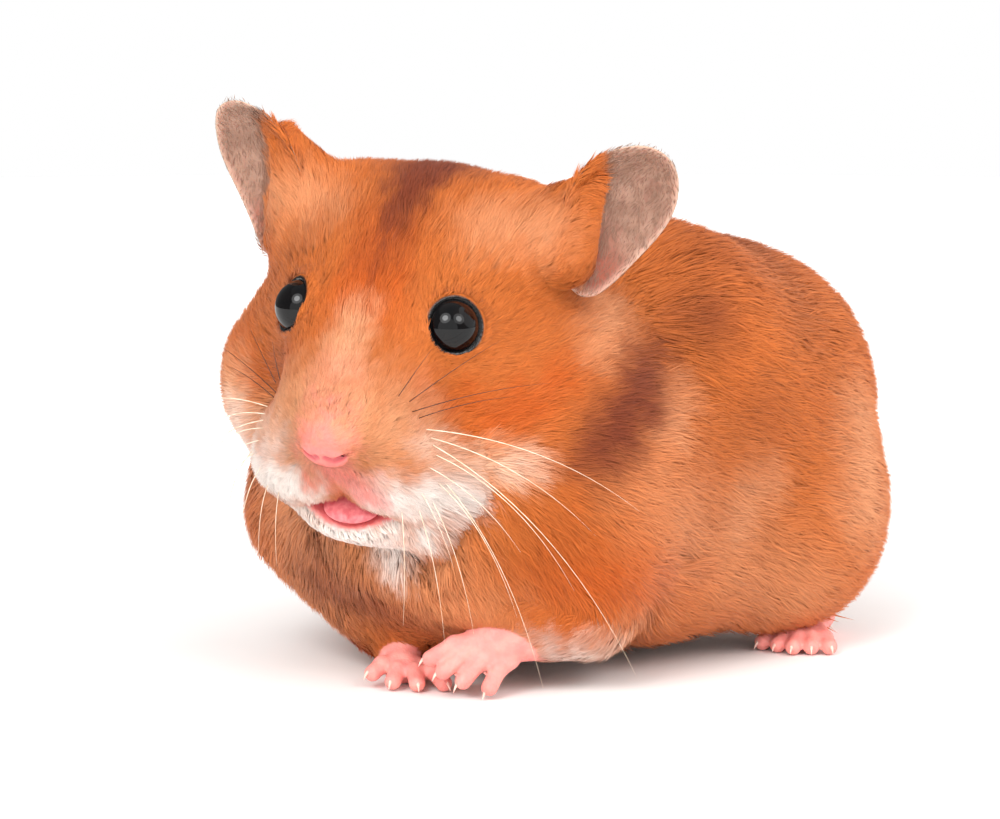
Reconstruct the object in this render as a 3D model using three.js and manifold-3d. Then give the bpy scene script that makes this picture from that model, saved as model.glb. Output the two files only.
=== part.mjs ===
// Syrian hamster at life size, crouching with its head turned to its left and one forepaw
// held across the other. The solids reach out to the tips of the coat. Units are
// millimetres: the animal faces -Y, its left side is +X and it stands on the plane z = 0.
import * as THREE from 'three';
import { mergeVertices } from 'three/addons/utils/BufferGeometryUtils.js';
import Module from 'manifold-3d';

const at = (x, y, z) => new THREE.Vector3(x, y, z);
const degrees = THREE.MathUtils.degToRad;

// ---------------------------------------------------------------- driving dimensions
const GAP = 0.3; // thin cut between neighbouring parts
const HEAD_CELL = 3.2; // facet size on the head
const BODY_CELL = 6.4; // facet size on the body

// The head's own frame starts midway between the eyes: x to its left, y back, z up.
const EYES_MIDDLE = at(4.95, -27.95, 47.2);
const HEAD_TURN = 21.5; // degrees to its left
const HEAD_NOD = 23; // degrees nose down
const HEAD_ROLL = 5; // degrees, left side lower
const HEAD_BACK = 17; // where the head meets the neck
const NECK_BACK = 26; // where the neck meets the trunk
const JAW_FLOOR = -26.9; // underside of the lower jaw

const EYE_RADIUS = 3.4;
const EYE = at(9.65, -0.85, -0.6); // left eyeball in the head's frame
const EYE_LOOK = { out: 52, up: 30 }; // degrees from straight ahead
const LID_HEIGHT = 0.3 * EYE_RADIUS; // the lids stand this far in front of the ball's middle
const LID_THICKNESS = 0.6;

const EAR_HALF_WIDTH = 6.6;
const EAR_HALF_LENGTH = 10;
const EAR_THICKNESS = 1.3;
const EAR_CUP_RADIUS = 13.5;
const EARS = {
  left: {
    side: 1, middle: at(23.2, 17.5, 7.9), turn: 35, lean: 33, tuft: at(21.4, 15, 11.2),
    hem: [at(19.4, 11.6, 3.6), at(23.6, 14.9, 14)],
  },
  right: {
    side: -1, middle: at(18.9, 15.5, 9.6), turn: 20, lean: 18, tuft: at(17.3, 14, 14.6),
    hem: [at(15, 12.5, 3), at(17.4, 13.2, 14)],
  },
};

const CHEST_BACK = -2; // plane between the chest and the trunk
const TAIL_ROOT = 53.3; // plane between the rump and the tail
const TAIL_TIP = at(0, 57.5, 10.5);

// ---------------------------------------------------------------- distance fields
// Each field gives a point's distance outside a form, negative inside it.
function ellipsoid(centre, radii) {
  return (point) => {
    const unit = point.clone().sub(centre).divide(radii);
    const size = unit.length();
    return size * (size - 1) / Math.max(unit.divide(radii).length(), 1e-6);
  };
}

function boxyEllipsoid(centre, radii, power) {
  return (point) => {
    const unit = point.clone().sub(centre).divide(radii).toArray().map(Math.abs);
    const sum = unit.reduce((total, value) => total + value ** power, 0);
    const size = Math.max(sum ** (1 / power), 1e-4);
    const slope = at(...unit.map((value) => (value / size) ** (power - 1))).divide(radii);
    return (size - 1) / slope.length();
  };
}

function roundCone(from, to, fromRadius, toRadius) {
  const axis = to.clone().sub(from);
  return (point) => {
    const offset = point.clone().sub(from);
    const along = THREE.MathUtils.clamp(offset.dot(axis) / axis.lengthSq(), 0, 1);
    const radius = THREE.MathUtils.lerp(fromRadius, toRadius, along);
    return offset.addScaledVector(axis, -along).length() - radius;
  };
}

function smoothMinimum(a, b, reach) {
  const overlap = Math.max(reach - Math.abs(a - b), 0) / reach;
  return Math.min(a, b) - overlap * overlap * reach / 4;
}

const blend = (reach, first, ...others) => (point) => others.reduce(
  (distance, field) => smoothMinimum(distance, field(point), reach), first(point));
const carve = (reach, field, cutter) => (point) => -smoothMinimum(
  -field(point), cutter(point), reach);
const sided = (side, point) => at(side * point.x, point.y, point.z);
const mirrored = (field) => (point) => field(at(Math.abs(point.x), point.y, point.z));
function inFrame(frame, field) {
  const inverse = frame.clone().invert();
  return (point) => field(point.clone().applyMatrix4(inverse));
}

// ---------------------------------------------------------------- frames
const turned = (axis, angle) => new THREE.Matrix4().makeRotationAxis(axis, degrees(angle));
const X = at(1, 0, 0);
const Y = at(0, 1, 0);
const Z = at(0, 0, 1);
const HEAD = new THREE.Matrix4().setPosition(EYES_MIDDLE)
  .multiply(turned(Z, HEAD_TURN)).multiply(turned(X, HEAD_NOD)).multiply(turned(Y, HEAD_ROLL));
// In the eye's frame z looks out of the head.
const EYE_FRAME = new THREE.Matrix4().setPosition(EYE)
  .multiply(turned(Z, EYE_LOOK.out)).multiply(turned(X, 90 - EYE_LOOK.up));
const LEFT_TO_RIGHT = new THREE.Matrix4().makeScale(-1, 1, 1);

// ---------------------------------------------------------------- the animal's form
function eyeSurround(face) {
  const lids = LID_HEIGHT;
  const clearing = ellipsoid(at(0, 0, lids + 2.6), at(4.2, 4.2, 2.5));
  const rim = ellipsoid(at(0, 0, 0), at(1, 1, 1).multiplyScalar(EYE_RADIUS + LID_THICKNESS));
  const mound = carve(0.8, rim, (point) => lids - point.z);
  const cleared = carve(1.5, face, mirrored(inFrame(EYE_FRAME, clearing)));
  return blend(0.8, cleared, mirrored(inFrame(EYE_FRAME, mound)));
}

function headForm() {
  let form = ellipsoid(at(0, 14.5, -4.5), at(19.5, 17, 15.3));
  form = blend(5, form, mirrored(ellipsoid(at(11.5, 15, 3), at(8.5, 9, 7)))); // temples
  for (const ear of Object.values(EARS)) {
    const tuft = roundCone(at(12, 14, 3), ear.tuft, 6.5, 1.9); // fur in front of the ear
    const hem = roundCone(...ear.hem, 4.4, 1); // fur along its front edge
    form = blend(3, form, (point) => tuft(sided(ear.side, point)));
    form = blend(2, form, (point) => hem(sided(ear.side, point)));
  }
  form = blend(7, form, ellipsoid(at(0, 1, -5), at(11, 12.5, 9.5))); // brow
  form = blend(5, form, ellipsoid(at(0, -8, -9), at(9.8, 10.2, 8.6))); // muzzle
  form = blend(7, form, mirrored(ellipsoid(at(13.6, 9, -16), at(12.6, 14, 12.5)))); // cheeks
  form = blend(3, form, mirrored(ellipsoid(at(5.3, -8.8, -14.3), at(7.6, 8.6, 7.2)))); // lips
  form = blend(4, form, mirrored(ellipsoid(at(9.3, -6.8, -17.5), at(6, 6.5, 6)))); // jowls
  form = blend(2, form, ellipsoid(at(0, -8.8, -21.2), at(8.8, 7.6, 4.5))); // chin
  form = blend(1.6, form, ellipsoid(at(0, -17.2, -8.2), at(3.1, 2.2, 2.3))); // nose
  return inFrame(HEAD, eyeSurround(form));
}

function trunkForm() {
  const rump = boxyEllipsoid(at(0, 26.4, 28.6), at(29, 26.8, 24.8), 2.45);
  const belly = mirrored(ellipsoid(at(12.5, 11, 13.5), at(14.5, 22, 11)));
  const waist = ellipsoid(at(0, 11, 28.3), at(28, 27, 25.3));
  const breast = ellipsoid(at(-1.5, -7.2, 25), at(32, 23.5, 23.5));
  const withers = mirrored(ellipsoid(at(12, 14, 43), at(14, 12, 12.4)));
  const thighs = mirrored(ellipsoid(at(20, 30, 16), at(12, 15.5, 14.5)));
  return blend(8, blend(10, rump, waist, breast), withers, belly, thighs);
}

function forelegForm() {
  const left = blend(3, roundCone(at(20, -9, 18), at(20, -8, 11.5), 9.5, 6),
    roundCone(at(20, -8, 10), at(17.5, -11.8, 8), 6, 3.8));
  const right = blend(3, roundCone(at(-16.4, -16.6, 18), at(-9, -17.6, 8.3), 11, 5.2),
    roundCone(at(-8, -15, 7), at(-2, -19, 4), 4.5, 3));
  return blend(3, left, right);
}

const NECK = roundCone(at(1, -3, 30), at(3.5, -10, 35), 22.5, 17);
const TAIL = roundCone(at(0, 50, 14), TAIL_TIP, 3.2, 1.8);
const THROAT = inFrame(HEAD, ellipsoid(at(0, -15.5, -27.4), at(9, 6.4, 3)));
const CORE = carve(3, blend(8, trunkForm(), NECK), THROAT);
const BODY = blend(5, blend(3, blend(4, CORE, headForm()), TAIL), forelegForm());

// ---------------------------------------------------------------- faceting a field
// One vertex in each cell that the surface crosses, joined across the crossed cell edges
// and then stepped onto the surface.
function facet(field, box, cell) {
  const count = box.getSize(at(0, 0, 0)).divideScalar(cell).ceil().addScalar(2).toArray();
  const start = box.min.clone().addScalar(-cell / 2);
  const stride = [1, count[0], count[0] * count[1]];
  const spot = (i, j, k) => at(i, j, k).multiplyScalar(cell).add(start);
  const walls = (point) => Math.max(...['x', 'y', 'z'].map(
    (axis) => Math.max(box.min[axis] - point[axis], point[axis] - box.max[axis])));
  const bounded = (point) => Math.max(field(point), walls(point));
  const values = new Float64Array(count[0] * count[1] * count[2]);
  const everyCell = (limit, visit) => {
    for (let k = 0; k < count[2] - limit; k += 1) {
      for (let j = 0; j < count[1] - limit; j += 1) {
        for (let i = 0; i < count[0] - limit; i += 1) {
          visit([i, j, k], i + j * stride[1] + k * stride[2]);
        }
      }
    }
  };
  everyCell(0, (place, index) => {
    values[index] = bounded(spot(...place));
  });

  const vertexOf = new Map();
  const vertices = [];
  everyCell(1, (place, index) => {
    const crossings = [];
    for (let axis = 0; axis < 3; axis += 1) {
      const across = [(axis + 1) % 3, (axis + 2) % 3];
      for (const [u, v] of [[0, 0], [1, 0], [0, 1], [1, 1]]) {
        const from = index + u * stride[across[0]] + v * stride[across[1]];
        const a = values[from];
        const b = values[from + stride[axis]];
        if ((a < 0) !== (b < 0)) {
          const corner = [...place];
          corner[across[0]] += u;
          corner[across[1]] += v;
          corner[axis] += a / (a - b);
          crossings.push(spot(...corner));
        }
      }
    }
    if (crossings.length > 0) {
      const middle = crossings.reduce((sum, point) => sum.add(point), at(0, 0, 0));
      vertexOf.set(index, vertices.length);
      vertices.push(ontoSurface(bounded, middle.divideScalar(crossings.length), cell));
    }
  });

  const triangles = [];
  everyCell(1, (place, index) => {
    for (let axis = 0; axis < 3; axis += 1) {
      const [u, v] = [(axis + 1) % 3, (axis + 2) % 3];
      const inside = values[index] < 0;
      if (place[u] > 0 && place[v] > 0 && inside !== values[index + stride[axis]] < 0) {
        const quad = [index, index - stride[u], index - stride[u] - stride[v],
          index - stride[v]].map((corner) => vertexOf.get(corner));
        const [a, b, c, d] = inside ? quad : quad.reverse();
        triangles.push(a, b, c, a, c, d);
      }
    }
  });
  const geometry = new THREE.BufferGeometry().setFromPoints(vertices);
  geometry.setIndex(triangles);
  return geometry;
}

function ontoSurface(field, start, cell) {
  const point = start.clone();
  const step = 0.02;
  for (let round = 0; round < 3; round += 1) {
    const here = field(point);
    const slope = at(...[X, Y, Z].map(
      (axis) => (field(point.clone().addScaledVector(axis, step)) - here) / step));
    point.addScaledVector(slope, -here / Math.max(slope.lengthSq(), 0.2));
  }
  return point.distanceTo(start) < 0.45 * cell ? point : start;
}

// ---------------------------------------------------------------- solids
const wasm = await Module();
wasm.setup();

function solid(geometry) {
  const bare = geometry.clone();
  bare.deleteAttribute('normal');
  bare.deleteAttribute('uv');
  const merged = mergeVertices(bare, 1e-5);
  const corners = merged.index.array;
  const kept = [];
  for (let i = 0; i < corners.length; i += 3) {
    const [a, b, c] = corners.slice(i, i + 3);
    if (a !== b && b !== c && c !== a) kept.push(a, b, c);
  }
  return new wasm.Manifold(new wasm.Mesh({
    numProp: 3,
    vertProperties: Float32Array.from(merged.attributes.position.array),
    triVerts: Uint32Array.from(kept),
  }));
}

function box(low, high, frame = new THREE.Matrix4(), grow = 0) {
  const size = high.clone().sub(low).addScalar(2 * grow);
  const middle = low.clone().add(high).divideScalar(2);
  const geometry = new THREE.BoxGeometry(...size.toArray());
  return solid(geometry.translate(...middle.toArray()).applyMatrix4(frame));
}

function ball(centre, radii, frame = new THREE.Matrix4(), around = 13, rows = 8) {
  const geometry = new THREE.SphereGeometry(1, around, rows).scale(...radii.toArray());
  return solid(geometry.translate(...centre.toArray()).applyMatrix4(frame));
}

// A round-ended taper, turned about its axis.
function taper(from, to, fromRadius, toRadius, around) {
  const axis = to.clone().sub(from);
  const profile = [];
  const steps = 2;
  for (let i = 0; i <= steps; i += 1) {
    const angle = Math.PI / 2 * (1 - i / steps);
    profile.push(new THREE.Vector2(fromRadius * Math.cos(angle), -fromRadius * Math.sin(angle)));
  }
  for (let i = 0; i <= steps; i += 1) {
    const angle = Math.PI / 2 * i / steps;
    profile.push(new THREE.Vector2(toRadius * Math.cos(angle),
      axis.length() + toRadius * Math.sin(angle)));
  }
  profile[0].x = 0;
  profile.at(-1).x = 0;
  const geometry = new THREE.LatheGeometry(profile, around);
  geometry.applyQuaternion(new THREE.Quaternion().setFromUnitVectors(Y, axis.normalize()));
  return solid(geometry.translate(...from.toArray()));
}

const joined = (pieces) => pieces.reduce((sum, piece) => sum.add(piece));
const cut = (piece, cutters) => cutters.reduce((rest, cutter) => rest.subtract(cutter), piece);
const bounds = (low, high) => new THREE.Box3(low, high);

// ---------------------------------------------------------------- parting the body
const FAR = 45;
const headRegion = (grow) => box(at(-FAR, -FAR, JAW_FLOOR), at(FAR, HEAD_BACK, FAR), HEAD, grow);
const neckRegion = (grow) => box(at(-FAR, -FAR, JAW_FLOOR), at(FAR, NECK_BACK, FAR), HEAD, grow);
const chestRegion = (grow) => box(at(-FAR, -80, -5), at(FAR, CHEST_BACK, 90),
  new THREE.Matrix4(), grow).intersect(box(at(-FAR, -FAR, -90), at(FAR, FAR, JAW_FLOOR), HEAD, grow));
const tailRegion = (grow) => box(at(-FAR, TAIL_ROOT, -5), at(FAR, 90, 90),
  new THREE.Matrix4(), grow);
const ground = box(at(-99, -99, -30), at(99, 99, 0));

const LEGS = {
  foreleg_left: { middle: at(20, -10, 12), reach: at(13, 12.5, 14) },
  foreleg_right: { middle: at(-14, -16, 12), reach: at(17, 14, 14) },
  hindleg_left: { middle: at(21, 31, 15.5), reach: at(14.5, 18.5, 16) },
  hindleg_right: { middle: at(-21, 31, 15.5), reach: at(14.5, 18.5, 16) },
};
// The space that a hind foot takes out of the thigh above it.
const FOOT_SPACE = { low: at(13.5, 22, -5), high: at(31, 44, 5.5 + GAP) };
const legRegion = ({ middle, reach }, grow) => ball(middle, reach.clone().addScalar(grow));

// Left forepaw held across the right one; the right forepaw is flat on the floor.
const FOREPAWS = {
  left: {
    wrist: [at(18, -11, 7.6), at(14, -17.2, 6.3), 3.3, 3],
    knuckles: [at(13.4, -18.8, 6.9), at(14.1, -18.4, 6.1), at(14.9, -17.8, 5.3), at(15.9, -16.8, 4.5)],
    tips: [at(9.4, -23.8, 4.7), at(11.2, -23.4, 3.3), at(13.2, -22, 2.2), at(15.7, -20, 1.5)],
  },
  right: {
    wrist: [at(-2, -18.5, 4), at(2, -21.5, 2.2), 2.8, 2.4],
    knuckles: [at(1, -22, 2.4), at(2.2, -21.5, 2.2), at(3, -20.8, 2.2), at(3.4, -19.8, 2.2)],
    tips: [at(1.2, -25.8, 1.9), at(4, -25, 1.2), at(6.6, -23.4, 1.1), at(8.8, -21, 1.1)],
  },
};
const WRIST_CUT = 0.35; // share of the palm's length left to the leg
const DIGIT = { base: 1.6, tip: 1.25 };

function forepaw({ wrist: [from, to, fromRadius, toRadius], knuckles, tips }, grow = 0) {
  const palm = taper(from, to, fromRadius + grow, toRadius + grow, 10);
  const digits = knuckles.map((knuckle, i) => taper(
    knuckle, tips[i], DIGIT.base + grow, DIGIT.tip + grow, 7));
  return joined([palm, ...digits]);
}

// Everything past the wrist, as a block whose near face crosses the palm.
function pastWrist({ wrist: [from, to] }, grow) {
  const along = to.clone().sub(from);
  const frame = new THREE.Matrix4().makeRotationFromQuaternion(
    new THREE.Quaternion().setFromUnitVectors(Z, along.clone().normalize()));
  frame.setPosition(from.clone().addScaledVector(along, WRIST_CUT));
  return box(at(-12, -12, 0), at(12, 12, 24), frame, grow);
}

const FOOT = { heel: at(18, 39, 2.7), ball: at(22.5, 31, 2.5), toes: at(23, 30, 2.2) };
const FOOT_AHEAD = new THREE.Vector2(0.45, -0.89); // the toes point a little outwards
const FOOT_ACROSS = new THREE.Vector2(0.89, 0.45);
const TOE = { count: 5, spacing: 1.1, spread: 1.1, middle: 5.2, outer: 3.6 };

const footSpace = (side) => box(
  at(side > 0 ? FOOT_SPACE.low.x : -FOOT_SPACE.high.x, FOOT_SPACE.low.y, FOOT_SPACE.low.z),
  at(side > 0 ? FOOT_SPACE.high.x : -FOOT_SPACE.low.x, FOOT_SPACE.high.y, FOOT_SPACE.high.z));

function hindfoot(side) {
  const pieces = [taper(sided(side, FOOT.heel), sided(side, FOOT.ball), 2.8, 3, 10)];
  for (let i = 0; i < TOE.count; i += 1) {
    const place = i - (TOE.count - 1) / 2;
    const reach = THREE.MathUtils.lerp(TOE.middle, TOE.outer, Math.abs(place) / 2);
    const root = FOOT_ACROSS.clone().multiplyScalar(place * TOE.spacing);
    const tip = root.clone().addScaledVector(FOOT_AHEAD, reach)
      .addScaledVector(FOOT_ACROSS, place * TOE.spread);
    const from = FOOT.toes.clone().add(at(root.x, root.y, 0));
    const to = at(FOOT.toes.x + tip.x, FOOT.toes.y + tip.y, 1.1);
    pieces.push(taper(sided(side, from), sided(side, to), 1.7, DIGIT.tip, 6));
  }
  return joined(pieces);
}

// A cupped ear: a thin round plate, bent towards its open side and narrowed at its root.
function ear({ side, middle, turn, lean }) {
  const geometry = new THREE.SphereGeometry(1, 20, 8);
  const positions = geometry.attributes.position;
  for (let i = 0; i < positions.count; i += 1) {
    const unit = at(0, 0, 0).fromBufferAttribute(positions, i);
    const narrowing = THREE.MathUtils.lerp(0.78, 1.06,
      THREE.MathUtils.smoothstep(unit.z, -1, 0.5));
    const x = EAR_HALF_WIDTH * narrowing * unit.x;
    const z = EAR_HALF_LENGTH * unit.z;
    const cup = (x * x + (z - 1) ** 2) / (2 * EAR_CUP_RADIUS) + 1;
    const half = Math.sign(unit.y) * Math.sqrt(Math.abs(unit.y)) * EAR_THICKNESS / 2;
    positions.setXYZ(i, x, half - cup, z);
  }
  const frame = new THREE.Matrix4().setPosition(middle)
    .multiply(turned(Z, turn)).multiply(turned(Y, lean));
  geometry.applyMatrix4(frame);
  if (side < 0) {
    geometry.applyMatrix4(LEFT_TO_RIGHT);
    const corners = geometry.index.array;
    for (let i = 0; i < corners.length; i += 3) {
      [corners[i], corners[i + 1]] = [corners[i + 1], corners[i]];
    }
  }
  return solid(geometry.applyMatrix4(HEAD));
}

// The head's coat around one ear's root, grown by the gap.
function earRoot({ side, middle }) {
  const centre = sided(side, middle).applyMatrix4(HEAD);
  const reach = at(16, 16, 16);
  const grown = (point) => BODY(point) - GAP;
  return solid(facet(grown, bounds(centre.clone().sub(reach), centre.clone().add(reach)), 1.6));
}

const eyeCentre = (side) => sided(side, EYE).applyMatrix4(HEAD);
const eyeball = (side, grow = 0) => ball(eyeCentre(side),
  at(1, 1, 1).multiplyScalar(EYE_RADIUS + grow), new THREE.Matrix4(), 14, 9);

const MOUTH_TILT = 20; // degrees, opening downwards
const MOUTH_FRAME = HEAD.clone().multiply(new THREE.Matrix4().setPosition(at(0.6, -15, -19.1)))
  .multiply(turned(X, MOUTH_TILT));
const mouth = ball(at(0, 0, 0), at(5.8, 5, 1.55), MOUTH_FRAME, 14, 8);
const tongue = ball(at(0, 1, -0.45), at(3.6, 2.5, 0.7), MOUTH_FRAME, 14, 8);

function bodyPieces() {
  const whole = bounds(at(-FAR, -60, -4), at(FAR, 70, 80));
  const front = bounds(at(-FAR, -60, 8), at(FAR, 26, 80));
  const body = solid(facet(BODY, whole, BODY_CELL)).subtract(ground);
  const face = solid(facet(BODY, front, HEAD_CELL));
  const pieces = {};
  pieces.head = cut(face.intersect(headRegion(0)), [mouth, eyeball(1, GAP), eyeball(-1, GAP)]);
  pieces.neck = cut(face.intersect(neckRegion(0)), [headRegion(GAP)]);
  pieces.tail = solid(facet(BODY, bounds(at(-10, 45, 0), at(10, 65, 24)), 1.6))
    .intersect(tailRegion(0));
  const below = body.subtract(neckRegion(GAP));
  for (const [name, leg] of Object.entries(LEGS)) {
    pieces[name] = below.intersect(legRegion(leg, 0));
  }
  for (const side of ['left', 'right']) {
    const paw = FOREPAWS[side];
    pieces[`foreleg_${side}`] = pieces[`foreleg_${side}`].subtract(pastWrist(paw, GAP));
    pieces[`forepaw_${side}`] = forepaw(paw).intersect(pastWrist(paw, 0)).subtract(ground);
    const sign = EARS[side].side;
    pieces[`hindleg_${side}`] = pieces[`hindleg_${side}`].subtract(footSpace(sign));
    pieces[`hindfoot_${side}`] = hindfoot(sign).subtract(ground);
    pieces[`ear_${side}`] = ear(EARS[side]).subtract(earRoot(EARS[side]));
    pieces[`eye_${side}`] = eyeball(sign);
  }
  const limbs = Object.values(LEGS).map((leg) => legRegion(leg, GAP));
  const paws = Object.values(FOREPAWS).map((paw) => forepaw(paw, GAP));
  const core = cut(below, [...limbs, ...paws]);
  pieces.chest = core.intersect(chestRegion(0));
  pieces.trunk = cut(core, [chestRegion(GAP), tailRegion(GAP)]);
  pieces.tongue = tongue;
  return pieces;
}

// ---------------------------------------------------------------- colours and assembly
const COAT = { color: 0xc8743f, roughness: 0.85, metalness: 0 };
const DARK_COAT = { color: 0xb0653f, roughness: 0.85, metalness: 0 };
const BARE_SKIN = { color: 0xf2b9ac, roughness: 0.6, metalness: 0 };
const EAR_SKIN = { color: 0xb28b77, roughness: 0.7, metalness: 0 };
const EYE_BLACK = { color: 0x08080a, roughness: 0.08, metalness: 0 };
const TONGUE_PINK = { color: 0xd9767a, roughness: 0.35, metalness: 0 };

const FINISHES = [
  [/^head/, COAT], [/^(neck|chest)/, DARK_COAT], [/^(trunk|tail)/, COAT], [/leg_/, COAT],
  [/(paw|foot)_/, BARE_SKIN], [/^ear_/, EAR_SKIN], [/^eye_/, EYE_BLACK],
  [/^tongue/, TONGUE_PINK],
];

function node(name, piece) {
  const mesh = piece.getMesh();
  const geometry = new THREE.BufferGeometry();
  geometry.setAttribute('position', new THREE.BufferAttribute(mesh.vertProperties, 3));
  geometry.setIndex(new THREE.BufferAttribute(mesh.triVerts, 1));
  geometry.computeVertexNormals();
  const [, finish] = FINISHES.find(([pattern]) => pattern.test(name));
  const part = new THREE.Mesh(geometry, new THREE.MeshStandardMaterial(finish));
  part.name = name;
  return part;
}

const animal = new THREE.Group();
for (const [name, piece] of Object.entries(bodyPieces())) {
  animal.add(node(name, piece));
}

// The origin is the middle of the whole animal's box, on the floor.
const middle = new THREE.Box3().setFromObject(animal).getCenter(at(0, 0, 0));
animal.position.set(-middle.x, -middle.y, 0);

export default animal;
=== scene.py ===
"""A Syrian hamster as a life-size still model: skin, coat, eyes, ears, claws and whiskers.

The animal's form is a set of distance fields in millimetres. It faces -Y, its left side is +X
and it crouches on the plane z = 0. The coat's outline is the level 0 of the body's field, and
the skin lies inside it by the coat's depth. Tufts grow from the skin out to the outline.
Points are arrays of three rows, x, y and z, until a mesh is made of them in metres.
"""
import logging
import math
from collections.abc import Callable
from dataclasses import dataclass, field
from enum import Enum

import bmesh
import bpy
import numpy as np
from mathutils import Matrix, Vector
from mathutils.kdtree import KDTree


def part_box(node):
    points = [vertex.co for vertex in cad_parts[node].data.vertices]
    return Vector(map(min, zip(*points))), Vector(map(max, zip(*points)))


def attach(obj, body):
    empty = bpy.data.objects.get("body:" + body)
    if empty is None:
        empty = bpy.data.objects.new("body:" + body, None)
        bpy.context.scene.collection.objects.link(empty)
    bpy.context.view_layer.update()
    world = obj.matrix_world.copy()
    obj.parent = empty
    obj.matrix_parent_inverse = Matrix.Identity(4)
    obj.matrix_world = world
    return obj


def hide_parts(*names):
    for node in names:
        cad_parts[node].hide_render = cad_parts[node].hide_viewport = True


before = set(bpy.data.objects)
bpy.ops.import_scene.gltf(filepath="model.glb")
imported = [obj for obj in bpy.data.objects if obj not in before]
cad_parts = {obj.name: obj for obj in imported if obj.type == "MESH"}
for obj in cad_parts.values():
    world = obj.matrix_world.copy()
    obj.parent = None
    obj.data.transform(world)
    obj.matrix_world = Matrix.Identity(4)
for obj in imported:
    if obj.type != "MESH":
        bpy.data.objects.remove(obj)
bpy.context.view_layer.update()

LOG = logging.getLogger("hamster")
BODY = "root"
MM = 0.001
Points = np.ndarray
Field = Callable[[Points], np.ndarray]
Triple = tuple[float, float, float]
Egg = tuple[Triple, Triple]
Taper = tuple[Triple, Triple, float, float]


# ---- arithmetic on points
def column(values: Triple) -> Points:
    """A triple as one point."""
    return np.array(values, np.float32).reshape(3, 1)


def length_of(points: Points) -> np.ndarray:
    """The length of each vector."""
    return np.sqrt(np.einsum("ij,ij->j", points, points))


def unit(points: Points) -> Points:
    """Each vector at length 1."""
    return points / np.maximum(length_of(points), 1e-9)


def lerp(low: float | np.ndarray, high: float | np.ndarray, share: np.ndarray) -> np.ndarray:
    """The value a share of the way from low to high."""
    return low + (high - low) * share


def ramp(values: np.ndarray, start: float, end: float) -> np.ndarray:
    """A smooth step that is 0 at start and 1 at end, which may be below start."""
    share = np.clip((values - start) / (end - start), 0, 1)
    return share * share * (3 - 2 * share)


def layered(value: np.ndarray, *layers: tuple[float, np.ndarray]) -> np.ndarray:
    """A value taken towards each layer's level by the layer's share, in order."""
    for level, share in layers:
        value = lerp(value, level, share)
    return value


def nearness(points: Points, place: Triple, far: float, near: float) -> np.ndarray:
    """A share that is 0 where a place is as far off as far, and 1 where it is near."""
    return ramp(length_of(points - column(place)), far, near)


def ripple(points: Points, size: float, seed: int, waves: int = 9) -> np.ndarray:
    """Smooth noise from about -1 to 1, as a sum of plane waves.

    Args:
        points: where to read it.
        size: the distance between crests.
        seed: which pattern.
        waves: how many waves are summed.

    Returns:
        One number for each point.
    """
    rng = np.random.default_rng(seed)
    heading = unit(rng.normal(size=(3, waves)).astype(np.float32))
    heading *= (2 * np.pi / size * rng.uniform(0.6, 1.5, waves)).astype(np.float32)
    phase = rng.uniform(0, 2 * np.pi, (waves, 1)).astype(np.float32)
    return np.sin(heading.T @ points + phase).sum(0) * math.sqrt(2 / waves) / 1.6


def placed(middle: Triple, *turns: tuple[str, float]) -> np.ndarray:
    """A frame at a point, turned about its own axes in order.

    Args:
        middle: the frame's origin.
        turns: axis name and degrees, applied from the first to the last.

    Returns:
        A 4 x 4 matrix.
    """
    result = np.eye(4)
    result[:3, 3] = middle
    for axis, degrees in turns:
        cosine, sine = math.cos(math.radians(degrees)), math.sin(math.radians(degrees))
        first, second = {"x": (1, 2), "y": (2, 0), "z": (0, 1)}[axis]
        turn = np.eye(4)
        turn[first, first] = turn[second, second] = cosine
        turn[first, second], turn[second, first] = -sine, sine
        result = result @ turn
    return result


def moved(points: Points, matrix: np.ndarray) -> Points:
    """Points carried by a 4 x 4 matrix."""
    return (matrix[:3, :3] @ points + matrix[:3, 3:]).astype(np.float32)


def sided(point: Triple, side: int) -> Triple:
    """A point of the left side, or its mirror image where side is -1."""
    return (side * point[0], point[1], point[2])


# ---- distance fields
def ellipsoid(centre: Triple, radii: Triple) -> Field:
    """The field of an ellipsoid, near enough to a true distance.

    Args:
        centre: its middle.
        radii: its half sizes along x, y and z.

    Returns:
        The field, which is below 0 inside.
    """
    def distance(points: Points) -> np.ndarray:
        """The distance from the ellipsoid."""
        shares = (points - column(centre)) / column(radii)
        size = length_of(shares)
        return size * (size - 1) / np.maximum(length_of(shares / column(radii)), 1e-6)
    return distance


def boxy_ellipsoid(centre: Triple, radii: Triple, power: float) -> Field:
    """The field of an ellipsoid whose sides are fuller, as power goes above 2.

    Args:
        centre: its middle.
        radii: its half sizes along x, y and z.
        power: 2 for a plain ellipsoid, and more towards a box.

    Returns:
        The field.
    """
    def distance(points: Points) -> np.ndarray:
        """The distance from the fuller ellipsoid."""
        shares = np.abs((points - column(centre)) / column(radii))
        size = np.maximum((shares ** power).sum(0) ** (1 / power), 1e-4)
        return (size - 1) / length_of((shares / size) ** (power - 1) / column(radii))
    return distance


def round_cone(start: Triple, end: Triple, start_radius: float, end_radius: float) -> Field:
    """The field of a taper with round ends.

    Args:
        start: the middle of the first end.
        end: the middle of the other end.
        start_radius: the first end's radius.
        end_radius: the other end's radius.

    Returns:
        The field.
    """
    def distance(points: Points) -> np.ndarray:
        """The distance from the taper."""
        axis = column(end) - column(start)
        offset = points - column(start)
        along = np.clip((offset * axis).sum(0) / (axis * axis).sum(), 0, 1)
        return length_of(offset - axis * along) - lerp(start_radius, end_radius, along)
    return distance


def smooth_minimum(first: np.ndarray, second: np.ndarray, reach: float) -> np.ndarray:
    """The lower of two distances, rounded where they are within reach of each other."""
    overlap = np.maximum(reach - np.abs(first - second), 0) / reach
    return np.minimum(first, second) - overlap * overlap * reach / 4


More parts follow.
